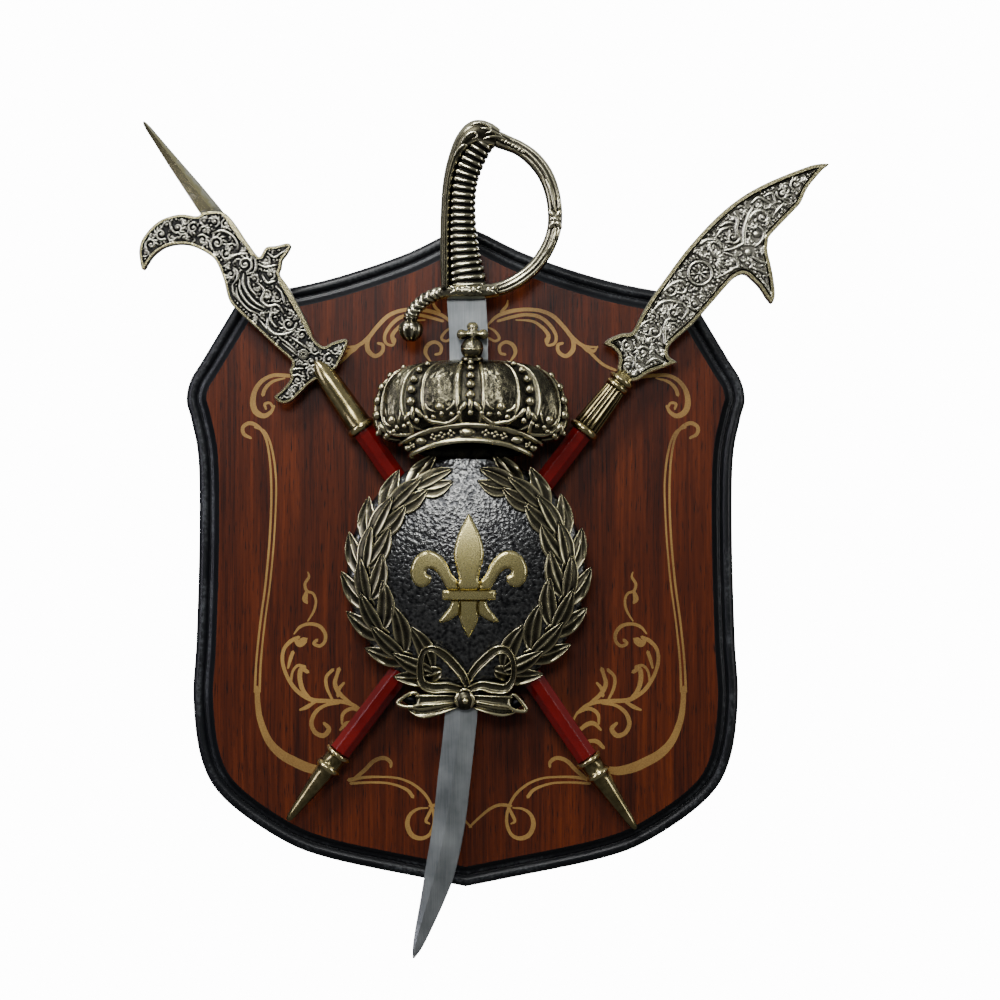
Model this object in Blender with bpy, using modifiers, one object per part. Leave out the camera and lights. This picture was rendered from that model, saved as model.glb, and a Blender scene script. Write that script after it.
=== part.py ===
# Wall plaque: a shield-shaped board with two crossed miniature polearms, a sabre and a cast boss.
# Lengths are millimetres in this file and become metres when a piece is finished.
# X runs to the viewer's right, Z up, and the front faces -Y. The board's back lies on the wall at Y = 0.
# Heights are measured from the board's face towards the viewer.
import math

import bmesh
import bpy
from mathutils import Matrix, Vector

# Board
BOARD_THICK = 14.0
BOARD_HALF = [(7.7, 146.3), (29.7, 135.9), (64.6, 124.7), (101.7, 117.5), (108.2, 106.7), (119.0, 88.7),
              (124.4, 79.7), (126.2, 70.7), (124.0, 61.7), (120.8, 43.7), (120.4, 8.0), (121.7, -37.4),
              (123.1, -64.0), (119.5, -91.4), (109.0, -109.4), (99.0, -118.4), (84.0, -127.4),
              (61.0, -136.4), (18.0, -145.4)]
BOARD_TOP = 149.0
BOARD_TIP = -149.0
# Moulding from the outer edge inwards: step in, height change.
MOULDING = [(0.6, 1.8), (1.5, 1.1), (1.6, 0.0), (1.6, -1.3), (0.5, 1.0), (1.2, 0.2), (2.6, 3.2)]
HANGER_HEAD = 9.5
HANGER_NECK = 4.6
HANGER_RISE = 9.0
HANGER_DEPTH = 8.0
HANGER_LIP = 2.5
HANGER_Z = 88.0

# Gap left between neighbouring pieces
GAP = 0.3

# Polearms
CROSS = (1.1, -11.4)
HALBERD_LEAN = -34.4
GLAIVE_LEAN = 37.2
SHAFT_WIDE = 9.4
SHAFT_HEIGHT = 7.6
HALBERD_RING_AT = 84.3
GLAIVE_RING_AT = 86.1
BUTT_RING_AT = 94.4
RING_HALF = 1.8
TENON_R = 2.5
TENON_LONG = 6.0
HEAD_THICK = 4.6
FIELD_DEEP = 0.9
RIM_WIDE = 1.5
SOCKET_R = 6.4
SOCKET_LONG = 23.0

# Sabre
BLADE_HEIGHT = 13.7
BLADE_THICK = 2.0
BLADE_TOP = 114.6
GRIP_DEEP = 12.0
RIB_COUNT = 17

# Boss
DISC_AT = (0.6, -7.7)
DISC_R = 52.6
FIELD_R = 39.0
RIM_FRONT = 14.6
FIELD_FRONT = 20.0
DISC_FOOT = DISC_AT[1] - DISC_R
DISC_HEAD = DISC_AT[1] + DISC_R
LILY_AT = (1.8, -7.6)
CROWN_AT = (2.6, DISC_HEAD + 24.3)
CROWN_R = 41.6
CROWN_TILT = 12.0
CROWN_FLAT = 0.36
CROWN_AXIS = 15.0
CROWN_DROOP = 8.0
LEAF_LONG = 23.0
LEAF_WIDE = 9.4

# Edges between faces that meet more steeply than this stay sharp
SHARP = math.radians(35)

for old in list(bpy.data.objects):
    bpy.data.objects.remove(old)
PARTS = bpy.data.collections.new("shield_plaque")
HELPERS = bpy.data.collections.new("helpers")
HELPERS.hide_render = True
for group in (PARTS, HELPERS):
    bpy.context.scene.collection.children.link(group)


def material(name, colour, metallic, roughness):
    made = bpy.data.materials.new(name)
    made.use_nodes = True
    shader = made.node_tree.nodes["Principled BSDF"]
    shader.inputs["Base Color"].default_value = (*colour, 1.0)
    shader.inputs["Metallic"].default_value = metallic
    shader.inputs["Roughness"].default_value = roughness
    made.diffuse_color = (*colour, 1.0)
    return made


def put(name, mesh, frame):
    """A closed mesh object, kept with the helpers until it is finished."""
    bm = bmesh.new()
    bm.from_mesh(mesh)
    bmesh.ops.remove_doubles(bm, verts=bm.verts, dist=0.001)
    bmesh.ops.transform(bm, matrix=frame, verts=bm.verts)
    bmesh.ops.recalc_face_normals(bm, faces=bm.faces)
    bmesh.ops.triangulate(bm, faces=[f for f in bm.faces if len(f.verts) == 4])
    bm.to_mesh(mesh)
    bm.free()
    made = bpy.data.objects.new(name, mesh)
    made.hide_render = True
    made.display_type = "WIRE"
    HELPERS.objects.link(made)
    return made


def as_mesh(obj):
    """What a curve or a modifier makes, as a mesh of its own; the object is then dropped."""
    bpy.context.scene.collection.objects.link(obj)
    bpy.context.view_layer.update()
    graph = bpy.context.evaluated_depsgraph_get()
    mesh = bpy.data.meshes.new_from_object(obj.evaluated_get(graph))
    bpy.data.objects.remove(obj)
    return mesh


def combine(base, others, operation):
    """Base joined with, or cut by, every other object, as one new mesh."""
    group = bpy.data.collections.new(base.name + "_" + operation.lower())
    HELPERS.children.link(group)
    for other in others:
        group.objects.link(other)
    step = base.modifiers.new(operation.lower(), "BOOLEAN")
    step.operand_type = "COLLECTION"
    step.collection = group
    step.operation = operation
    step.solver = "EXACT"
    bpy.context.view_layer.update()
    graph = bpy.context.evaluated_depsgraph_get()
    mesh = bpy.data.meshes.new_from_object(base.evaluated_get(graph))
    base.modifiers.clear()
    base.data = mesh
    for other in others:
        bpy.data.objects.remove(other)
    bpy.data.collections.remove(group)
    return base


def finish(obj, looks):
    """Turns millimetres into metres and moves the piece into the object's own collection."""
    obj.data.transform(Matrix.Scale(0.001, 4))
    HELPERS.objects.unlink(obj)
    PARTS.objects.link(obj)
    obj.hide_render = False
    obj.display_type = "TEXTURED"
    obj.data.materials.clear()
    obj.data.materials.append(looks)
    obj.data.shade_smooth()
    obj.data.set_sharp_from_angle(angle=SHARP)
    return obj


def place(lean, at, height):
    """From a piece's own axes (x across, y along, z towards the viewer) to the plaque."""
    turn = Matrix.Rotation(math.radians(lean), 4, "Y")
    stand = Matrix(((1, 0, 0, 0), (0, 0, -1, 0), (0, 1, 0, 0), (0, 0, 0, 1)))
    return Matrix.Translation((at[0], -BOARD_THICK - height, at[1])) @ turn @ stand


FLAT = place(0.0, (0.0, 0.0), 0.0)
# Turns a piece that rises along z so that it runs along y
ALONG = Matrix.Rotation(-math.pi / 2, 4, "X")


def smooth_line(points, steps):
    """Catmull-Rom curve through the points."""
    made = []
    last = len(points) - 1
    for i in range(last):
        a, b, c, d = (Vector(points[min(max(i + k, 0), last)]) for k in (-1, 0, 1, 2))
        for j in range(steps):
            t = j / steps
            made.append(0.5 * (2 * b + (c - a) * t + (2 * a - 5 * b + 4 * c - d) * t ** 2
                               + (3 * b - a - 3 * c + d) * t ** 3))
    made.append(Vector(points[-1]))
    return made


def distance(point, outline):
    best = 1e9
    for i in range(len(outline)):
        a = Vector(outline[i - 1])
        b = Vector(outline[i])
        span = b - a
        t = min(max((point - a).dot(span) / max(span.length_squared, 1e-9), 0.0), 1.0)
        best = min(best, (point - a - span * t).length)
    return best


def inset(outline, by, spacing):
    """The outline moved inwards, dropping what would cross itself in narrow places."""
    area = sum(a[0] * b[1] - b[0] * a[1] for a, b in zip(outline, outline[1:] + outline[:1]))
    side = 1.0 if area > 0 else -1.0
    dense = []
    for i in range(len(outline)):
        a = Vector(outline[i - 1])
        b = Vector(outline[i])
        pieces = max(1, round((b - a).length / 0.8))
        dense += [a.lerp(b, k / pieces) for k in range(pieces)]
    moved = []
    for i in range(len(dense)):
        run = (dense[(i + 1) % len(dense)] - dense[i - 1]).normalized()
        inwards = Vector((-run.y, run.x)) * by * side
        if distance(dense[i] + inwards * 1.6, outline) > by * 1.55:
            moved.append(dense[i] + inwards)
    kept = [moved[0]]
    for point in moved[1:]:
        if (point - kept[-1]).length > spacing:
            kept.append(point)
    return kept


def outline_curve(name, outline):
    """A closed flat curve through the corners of an outline."""
    curve = bpy.data.curves.new(name, "CURVE")
    curve.dimensions = "2D"
    line = curve.splines.new("POLY")
    line.points.add(len(outline) - 1)
    for point, corner in zip(line.points, outline):
        point.co = (corner[0], corner[1], 0.0, 1.0)
    line.use_cyclic_u = True
    return curve


def prism(name, outline, low, high, frame=FLAT):
    """A flat outline (x, y) raised from low to high."""
    curve = outline_curve(name, outline)
    curve.fill_mode = "BOTH"
    curve.extrude = (high - low) / 2
    mesh = as_mesh(bpy.data.objects.new(name, curve))
    return put(name, mesh, frame @ Matrix.Translation((0, 0, (low + high) / 2)))


def bar(name, radius, start, end, sides, frame=FLAT, phase=0.0):
    """A straight round or many-sided bar along y."""
    bm = bmesh.new()
    bmesh.ops.create_cone(bm, cap_ends=True, segments=sides, radius1=radius, radius2=radius, depth=end - start)
    mesh = bpy.data.meshes.new(name)
    bm.to_mesh(mesh)
    bm.free()
    middle = Matrix.Translation((0, (start + end) / 2, 0))
    return put(name, mesh, frame @ middle @ ALONG @ Matrix.Rotation(phase, 4, "Z"))


def stack(name, rings, frame=FLAT):
    """A closed loft through rings that all have the same number of points."""
    bm = bmesh.new()
    rows = [[bm.verts.new(p) for p in ring] for ring in rings]
    for low, high in zip(rows, rows[1:]):
        for i in range(len(low)):
            bm.faces.new((low[i - 1], low[i], high[i], high[i - 1]))
    bm.faces.new(rows[0][::-1])
    bm.faces.new(rows[-1])
    mesh = bpy.data.meshes.new(name)
    bm.to_mesh(mesh)
    bm.free()
    return put(name, mesh, frame)


def turned(name, profile, sides, frame=FLAT, phase=0.0, flat=1.0):
    """A round piece along y: profile of (along, radius), closed on the axis at both ends."""
    line = [(0.0, profile[0][0], 0.0)] + [(radius, along, 0.0) for along, radius in profile]
    line.append((0.0, profile[-1][0], 0.0))
    mesh = bpy.data.meshes.new(name)
    mesh.from_pydata(line, [(i, i + 1) for i in range(len(line) - 1)], [])
    obj = bpy.data.objects.new(name, mesh)
    screw = obj.modifiers.new("turn", "SCREW")
    screw.axis = "Y"
    screw.steps = sides
    screw.render_steps = sides
    screw.use_merge_vertices = True
    screw.merge_threshold = 0.0001
    round_mesh = as_mesh(obj)
    return put(name, round_mesh, frame @ Matrix.Diagonal((1, 1, flat, 1)) @ Matrix.Rotation(phase, 4, "Y"))


def rod(name, path, sizes, sides, frame=FLAT, deep=1.0, twist=0.0):
    """A swept oval bar along an open path of (x, y) or (x, y, z), with a radius at each point."""
    turn = [twist + 2 * math.pi * k / sides for k in range(sides)]
    section = outline_curve("section", [(math.cos(a), deep * math.sin(a)) for a in turn])
    section_object = bpy.data.objects.new("section", section)
    curve = bpy.data.curves.new(name, "CURVE")
    curve.dimensions = "3D"
    curve.twist_mode = "Z_UP"
    curve.bevel_mode = "OBJECT"
    curve.bevel_object = section_object
    curve.use_fill_caps = True
    line = curve.splines.new("POLY")
    line.points.add(len(path) - 1)
    for i, (point, spot) in enumerate(zip(line.points, path)):
        point.co = (spot[0], spot[1], spot[2] if len(spot) > 2 else 0.0, 1.0)
        point.radius = sizes if isinstance(sizes, float) else sizes[i]
    mesh = as_mesh(bpy.data.objects.new(name, curve))
    bpy.data.objects.remove(section_object)
    return put(name, mesh, frame)


def bead(name, at, size, frame=FLAT, detail=1):
    """A small ball or egg: size is (x, y, z) radii."""
    bm = bmesh.new()
    bmesh.ops.create_icosphere(bm, subdivisions=detail, radius=1.0)
    mesh = bpy.data.meshes.new(name)
    bm.to_mesh(mesh)
    bm.free()
    return put(name, mesh, frame @ Matrix.Translation(at) @ Matrix.Diagonal((*size, 1)))


# Board: outline, moulded edge and keyhole hanger
def board():
    right = smooth_board_side()
    left = [Vector((-p.x, p.y)) for p in right[::-1]]
    outline = [Vector((0, BOARD_TOP))] + right + [Vector((0, BOARD_TIP))] + left
    level = -sum(step[1] for step in MOULDING)
    across = 0.0
    rings = [[(p.x, p.y, -BOARD_THICK) for p in outline], [(p.x, p.y, level) for p in outline]]
    for wide, climb in MOULDING:
        across += wide
        level += climb
        rings.append([(p.x, p.y, level) for p in mitred(outline, across)])
    made = stack("board", rings)
    back = place(0.0, (0.0, HANGER_Z), -BOARD_THICK)
    into = back @ ALONG.inverted()
    head = bar("hanger_head", HANGER_HEAD / 2, -1.0, HANGER_DEPTH, 16, into)
    neck = prism("hanger_neck", slot(HANGER_NECK / 2, HANGER_RISE), -1.1, HANGER_DEPTH - 0.1, back)
    track = slot(HANGER_HEAD / 2 - 0.1, HANGER_RISE)
    under = prism("hanger_under", track, HANGER_LIP, HANGER_DEPTH - 0.2, back)
    return combine(made, [head, neck, under], "DIFFERENCE")


def mitred(outline, by):
    """The outline moved inwards with the same number of points."""
    made = []
    count = len(outline)
    for i in range(count):
        before = (outline[i] - outline[i - 1]).normalized()
        after = (outline[(i + 1) % count] - outline[i]).normalized()
        middle = (before + after).normalized()
        inwards = Vector((middle.y, -middle.x))
        made.append(outline[i] + inwards * (by / max(0.3, middle.dot(after))))
    return made


def smooth_board_side():
    """The right edge: straight runs kept, the shoulder and hip rounded."""
    top = smooth_line([(0.0, BOARD_TOP)] + BOARD_HALF[:4], 2)[2:]
    return top + [Vector(p) for p in BOARD_HALF[4:]]


def slot(radius, rise):
    lower = [(radius * math.cos(a), radius * math.sin(a)) for a in
             [math.pi + math.pi * i / 6 for i in range(7)]]
    upper = [(radius * math.cos(a), rise + radius * math.sin(a)) for a in
             [math.pi * i / 6 for i in range(7)]]
    return lower + upper


# Polearms: shafts halved into each other, tenons into socket and ferrule
def shaft(name, lean, ring_at):
    frame = place(lean, CROSS, SHAFT_HEIGHT)
    low = -BUTT_RING_AT + GAP
    high = ring_at - RING_HALF - GAP
    made = bar(name, SHAFT_WIDE / 2 / math.cos(math.pi / 8), low, high, 8, frame, math.pi / 8)
    pins = [bar(name + "_pin", TENON_R, low - TENON_LONG, low + 2.0, 8, frame),
            bar(name + "_pin", TENON_R, high - 2.0, high + TENON_LONG, 8, frame)]
    return combine(made, pins, "UNION")


def halving(lean, front):
    """A block that takes away half of a shaft where the other one crosses it."""
    frame = place(lean, CROSS, SHAFT_HEIGHT)
    half = SHAFT_WIDE / 2 + GAP
    outline = [(-half, -30), (half, -30), (half, 30), (-half, 30)]
    low, high = (-GAP / 2, 12.0) if front else (-12.0, GAP / 2)
    return prism("halving", outline, low, high, frame)


def socket_hole(frame, mouth, inwards):
    deep = TENON_LONG + GAP
    ends = sorted([mouth - 1.0 * inwards, mouth + deep * inwards])
    return bar("bore", TENON_R + GAP, ends[0], ends[1], 8, frame)


def ferrule(name, lean):
    frame = place(lean, CROSS, SHAFT_HEIGHT)
    start = -BUTT_RING_AT
    cone = turned(name, [(start - 38.3, 0.7), (start - 35.5, 1.9), (start - 12.0, 4.4), (start - 9.0, 4.6),
                         (start - 1.5, 4.9)], 8, frame, math.pi / 8)
    rings = []
    for at, size in ((start - 9.0, SOCKET_R - 0.3), (start - 1.2, SOCKET_R)):
        shape = [(at - 1.5, size - 0.6), (at - 0.7, size), (at + 0.5, size), (at + 1.2, size - 0.6)]
        rings.append(turned("ring", shape, 10, frame))
    made = combine(cone, rings, "UNION")
    return combine(made, [socket_hole(frame, start, -1.0)], "DIFFERENCE")


# Outlines of the heads, from the end of the socket: distance along the shaft, distance across it
HALBERD_SIDE = [(96.5, 3.2), (92.5, 4.2), (73.4, 4.8), (67.0, 5.0), (64.9, 6.0), (66.7, 10.4),
                (64.7, 14.6), (62.9, 19.2), (61.0, 19.9), (59.1, 16.6), (57.9, 13.2), (55.5, 10.9),
                (53.2, 8.6), (45.8, 8.6), (27.8, 6.6), (20.9, 5.2), (15.9, 6.6), (15.2, 10.6),
                (13.5, 16.0), (11.8, 17.0), (9.6, 14.6), (6.0, 8.6), (4.6, 4.8), (5.6, -6.6), (4.9, -11.4),
                (3.8, -19.0), (5.7, -23.3), (9.7, -24.1), (10.4, -20.0), (12.2, -13.8), (15.6, -12.1),
                (18.4, -9.0), (27.3, -10.9), (39.9, -13.6), (49.9, -15.8), (56.6, -16.4), (65.3, -13.3),
                (71.6, -11.8), (76.0, -11.6), (81.4, -13.6), (86.5, -16.9), (90.0, -21.3), (92.1, -26.7),
                (92.0, -32.5), (90.5, -36.9), (89.3, -39.4), (90.1, -40.6), (94.3, -39.2), (97.5, -37.2),
                (100.6, -33.4), (102.7, -27.4), (103.2, -21.4), (101.7, -15.6), (99.5, -11.5),
                (95.5, -7.0), (96.6, -4.6)]
GLAIVE_SIDE = [(12.8, -16.3), (16.0, -15.5), (20.7, -12.7), (23.7, -9.6), (27.4, -9.7), (33.9, -10.9),
               (42.0, -11.7), (53.6, -12.0), (62.5, -12.2), (70.6, -12.0), (82.0, -11.0), (92.5, -9.3),
               (102.7, -6.4), (111.6, -2.5), (119.8, 2.0), (126.8, 6.3), (132.7, 10.4), (136.9, 15.3),
               (133.0, 14.6), (124.9, 14.1), (120.3, 14.5), (115.2, 15.7), (109.5, 15.2), (96.0, 13.7),
               (92.9, 14.6), (89.4, 16.9), (85.5, 21.6), (80.8, 26.8), (75.7, 31.4), (71.9, 32.6),
               (72.2, 29.6), (74.2, 23.8), (74.9, 19.0), (75.0, 15.7), (73.5, 13.6), (68.5, 12.0),
               (54.4, 11.0), (43.0, 10.1), (31.7, 7.9), (27.7, 8.3), (25.5, 10.4), (25.5, 14.6),
               (23.0, 13.4), (17.7, 10.0), (13.8, 7.6), (8.0, 5.4), (5.4, 0.6), (7.0, -4.4), (9.9, -6.0),
               (12.3, -8.4), (13.1, -12.3), (12.3, -15.4)]


def spiral(at, radius, turns, start, step):
    """Centre line of a scroll that winds in towards its middle."""
    count = 5
    made = []
    for i in range(count + 1):
        t = i / count
        angle = start + 2 * math.pi * turns * t
        size = radius * (1 - 0.68 * t)
        made.append((at[0] + size * math.cos(angle), at[1] + size * math.sin(angle), step))
    return made


def plate(name, side, frame, scrolls):
    """A cast head: flat plate with a raised rim, a sunk field and scrolls standing in it."""
    outline = [Vector((across, along)) for along, across in side]
    made = prism(name, outline, -HEAD_THICK / 2, HEAD_THICK / 2, frame)
    field = inset(outline, RIM_WIDE, 7.5)
    sunk = prism("sunk", field, HEAD_THICK / 2 - FIELD_DEEP, HEAD_THICK, frame)
    made = combine(made, [sunk], "DIFFERENCE")
    level = HEAD_THICK / 2 - FIELD_DEEP
    coils = []
    for i, (along, across, radius, turns) in enumerate(scrolls):
        line = spiral((across, along), radius, turns, 0.83 * i + 0.31, level + 0.013 * i)
        sizes = [1.0 - 0.35 * k / len(line) for k in range(len(line))]
        coils.append(rod("scroll", line, sizes, 3, frame, 1.0, math.pi / 2))
    return combine(made, coils, "UNION")


def halberd_head():
    frame = place(HALBERD_LEAN, ring_point(HALBERD_LEAN, HALBERD_RING_AT), SHAFT_HEIGHT)
    above = frame @ Matrix.Translation((0, SOCKET_LONG, 0))
    scrolls = [(94.0, -23.5, 3.6, 1.3), (90.5, -8.5, 4.2, -1.4), (77.0, -3.5, 4.6, 1.3),
               (59.0, -6.5, 5.2, -1.3),
               (42.0, -3.5, 5.0, 1.4), (9.8, -14.0, 3.0, 1.2)]
    made = plate("halberd_head", HALBERD_SIDE, above, scrolls)
    rings = []
    for along, across, wide in ((89.0, -0.8, 4.3), (95.0, -0.9, 4.4), (108.0, -1.5, 3.6), (131.8, -2.6, 1.9),
                                (141.5, -3.0, 1.2), (144.0, -3.0, 0.6)):
        deep = wide * 0.8
        rings.append([(across - wide, along, 0), (across, along, -deep), (across + wide, along, 0),
                      (across, along, deep)])
    spike = stack("spike", rings, above)
    profile = [(-RING_HALF, SOCKET_R - 0.8), (-1.0, SOCKET_R), (0.8, SOCKET_R), (1.6, SOCKET_R - 0.6),
               (SOCKET_LONG + 1.0, SOCKET_R - 1.4), (SOCKET_LONG + 7.0, SOCKET_R - 2.4),
               (SOCKET_LONG + 13.0, SOCKET_R - 5.2)]
    socket = turned("socket", profile, 12, frame)
    disc = turned("rivet", [(0.0, 2.6), (2.7, 2.6), (3.4, 1.8)], 10,
                  above @ Matrix.Translation((-2.4, 18.0, 0)) @ Matrix.Rotation(math.pi / 2, 4, "X"))
    made = combine(made, [spike, socket, disc], "UNION")
    return combine(made, [socket_hole(frame, -RING_HALF, 1.0)], "DIFFERENCE")


def glaive_head():
    frame = place(GLAIVE_LEAN, ring_point(GLAIVE_LEAN, GLAIVE_RING_AT), SHAFT_HEIGHT)
    above = frame @ Matrix.Translation((0, SOCKET_LONG, 0))
    scrolls = [(114.0, 7.0, 4.4, 1.3), (97.0, 3.0, 5.6, -1.4), (82.0, 10.0, 4.8, -1.3),
               (69.0, -1.6, 6.0, 1.2), (48.0, -0.6, 5.2, -1.3), (19.0, -2.0, 4.6, -1.3)]
    made = plate("glaive_head", GLAIVE_SIDE, above, scrolls)
    socket = turned("socket", [(-RING_HALF, SOCKET_R), (-1.2, SOCKET_R + 0.6), (0.9, SOCKET_R + 0.6),
                               (1.6, SOCKET_R - 0.4), (SOCKET_LONG, SOCKET_R - 1.8),
                               (SOCKET_LONG + 7.0, SOCKET_R - 2.4)], 12, frame)
    collars = []
    for at, size in ((SOCKET_LONG + 1.2, SOCKET_R - 0.8), (SOCKET_LONG + 4.4, SOCKET_R - 0.6)):
        shape = [(at - 1.1, size - 0.9), (at - 0.4, size), (at + 0.4, size), (at + 1.1, size - 0.9)]
        collars.append(turned("collar", shape, 12, frame))
    made = combine(made, [socket] + collars, "UNION")
    return combine(made, [socket_hole(frame, -RING_HALF, 1.0)], "DIFFERENCE")


def ring_point(lean, along):
    turn = math.radians(lean)
    return (CROSS[0] + along * math.sin(turn), CROSS[1] + along * math.cos(turn))


# Sabre: blade as a loft with a bevelled cutting side, hilt as one casting
BLADE_EDGES = [(BLADE_TOP, -8.0, 9.3), (88.0, -6.8, 10.2), (10.0, -7.5, 8.6), (-40.0, -8.2, 7.0),
               (-69.0, -8.9, 5.5), (-96.6, -12.0, 2.6), (-118.3, -14.4, 0.0), (-138.7, -17.7, -4.2),
               (-151.5, -19.8, -8.9), (-164.4, -22.1, -14.8), (-172.5, -23.2, -18.9), (-177.4, -23.2, -22.2)]


def sabre_blade():
    frame = place(0.0, (0.0, 0.0), BLADE_HEIGHT)
    rings = []
    for z, left, right in BLADE_EDGES:
        wide = right - left
        half = BLADE_THICK / 2
        ridge = left + wide * 0.45
        rings.append([(left, z, -0.25), (ridge, z, -half), (right, z, -half * 0.7),
                      (right, z, half * 0.7), (ridge, z, half), (left, z, 0.25)])
    return stack("sabre_blade", rings, frame)


STRAP = [(-2.3, 188.0), (-5.6, 179.0), (-8.2, 169.4), (-9.6, 158.5), (-10.2, 145.0), (-10.2, 132.0),
         (-9.4, 118.0)]
BOW_LINE = [(2.6, 189.6), (8.0, 189.8), (13.0, 186.4), (18.4, 184.0), (24.6, 181.2), (30.0, 177.0),
            (34.8, 171.2),
            (38.0, 164.4), (39.6, 155.4), (39.8, 146.0), (36.8, 135.6), (32.0, 128.4),
            (25.6, 122.8), (17.6, 118.9), (8.0, 117.8), (-6.0, 118.0), (-14.0, 116.9),
            (-20.0, 113.6), (-23.6, 110.0), (-24.2, 104.0)]
GRIP_LINE = [(8.2, 185.0, 5.6), (3.4, 177.0, 5.9), (0.2, 168.5, 6.0), (-1.0, 159.0, 5.8), (-1.0, 146.0, 6.2),
             (-0.3, 134.0, 7.2), (1.6, 124.0, 8.6), (2.2, 119.0, 8.8)]


def sabre_hilt():
    frame = place(0.0, (0.0, 0.0), BLADE_HEIGHT)
    spine = smooth_line([Vector(p) for p in GRIP_LINE], 12)
    total = len(spine) - 1
    rings = []
    for i in range(2 * RIB_COUNT + 1):
        x, y, half = spine[round(i * total / (2 * RIB_COUNT))]
        size = half - (0.0 if i % 2 else 0.9)
        deep = (GRIP_DEEP / 2) * (0.85 + 0.15 * i / (2 * RIB_COUNT)) - (0.0 if i % 2 else 0.8)
        rings.append([(x + size * math.cos(math.tau / 7 * k), y, deep * math.sin(math.tau / 7 * k))
                      for k in range(7)])
    grip = stack("sabre_hilt", rings, frame)
    strap = rod("strap", STRAP, 2.1, 6, frame, 3.1)
    sizes = [2.6, 3.2, 3.0, 2.8] + [3.3] * 10 + [3.0, 2.8, 2.6, 2.3, 2.3, 1.9]
    bow = rod("bow", BOW_LINE, sizes, 6, frame, 1.05)
    cap = bead("cap", (3.6, 188.2, 0.0), (8.6, 6.4, 6.8), frame, 2)
    guard = prism("guard", [(-10.4, 115.0), (15.4, 115.0), (17.0, 118.0), (14.0, 122.0), (-9.6, 121.0)],
                  -6.6, 6.6, frame)
    rib = turned("collar", [(105.6, 2.2), (106.2, 3.1), (107.4, 3.1), (108.0, 2.2)], 8,
                 frame @ Matrix.Translation((-24.2, 0, 0)))
    knot = bead("knot", (40.1, 149.4, 0.0), (3.6, 3.4, 4.2), frame)
    ball = turned("ball", [(96.6, 1.0), (97.4, 2.9), (99.4, 4.5), (101.8, 4.9), (104.2, 3.9),
                           (106.4, 1.8)], 8,
                  frame @ Matrix.Translation((-24.0, 0, 0)))
    made = combine(grip, [strap, bow, cap, guard, rib, knot, ball], "UNION")
    low, high = BLADE_TOP - 2.6, BLADE_TOP + GAP
    seat = prism("seat", [(-13.0, low), (13.0, low), (13.0, high), (-13.0, high)],
                 -BLADE_THICK / 2 - GAP, BLADE_THICK / 2 + GAP, frame)
    return combine(made, [seat], "DIFFERENCE")


# Boss: disc, leaves, raised flower, crown and ribbon bow as one casting
def leaf(at, heading, long, wide, height, lift):
    """One pointed leaf, highest at the middle of its midrib; it rises by lift towards its tip."""
    turn = math.radians(heading)
    ahead = Vector((math.sin(turn), math.cos(turn)))
    side = Vector((ahead.y, -ahead.x)) * wide / 2
    base = Vector(at)
    rim = [(base, 0.0), (base + ahead * long * 0.45 + side, 0.45), (base + ahead * long, 1.0),
           (base + ahead * long * 0.45 - side, 0.45)]
    lower = [(p.x, p.y, height - 3.0) for p, t in rim]
    upper = [(p.x, p.y, height + lift * t) for p, t in rim]
    middle = base + ahead * long * 0.5
    peak = (middle.x, middle.y, height + lift * 0.5 + 2.0)
    return stack("leaf", [lower, upper, [peak] * len(rim)])


def wreath():
    """Two branches that climb from the bow to either side of the crown."""
    made = []
    for side in (-1, 1):
        for k in range(8):
            angle = -79.0 + 18.6 * k
            turn = math.radians(angle)
            for radius, splay, height in ((DISC_R - 4.0, 7.0, 13.6), (DISC_R - 8.8, -22.0, 15.2)):
                spot = (DISC_AT[0] + side * radius * math.cos(turn), DISC_AT[1] + radius * math.sin(turn))
                heading = -angle + splay
                made.append(leaf(spot, side * heading, LEAF_LONG, LEAF_WIDE, height + 0.07 * k, 1.6))
    return made


def flower():
    """Heraldic lily standing in the middle of the disc."""
    half = [(0.0, 26.0), (3.4, 19.0), (6.2, 11.5), (5.2, 4.0), (4.2, -2.0), (8.0, 1.0), (10.8, 6.6),
            (15.4, 10.4),
            (21.4, 9.8), (25.4, 4.8), (25.0, -2.0), (20.8, -5.4), (17.0, -2.6), (17.6, 1.4), (14.8, 1.2),
            (11.6, -3.4), (8.4, -6.4), (12.4, -6.8), (12.4, -11.0), (6.2, -11.2), (8.8, -16.0), (12.0, -21.0),
            (7.4, -19.4), (4.0, -18.0), (0.0, -26.0)]
    whole = half + [(-a, b) for a, b in reversed(half[1:-1])]
    outline = [(LILY_AT[0] + a, LILY_AT[1] + b) for a, b in whole]
    return prism("flower", outline, 15.0, 22.4)


def droop(obj):
    """Lowers the sides of the crown, so that its band and lower edge run in an arc."""
    for vertex in obj.data.vertices:
        across = vertex.co.x - CROWN_AT[0]
        up = vertex.co.z - CROWN_AT[1]
        share = min(max((14.0 - up) / 26.0, 0.0), 1.0)
        vertex.co.z -= CROWN_DROOP * share * (across / 35.0) ** 2
    return obj


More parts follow.
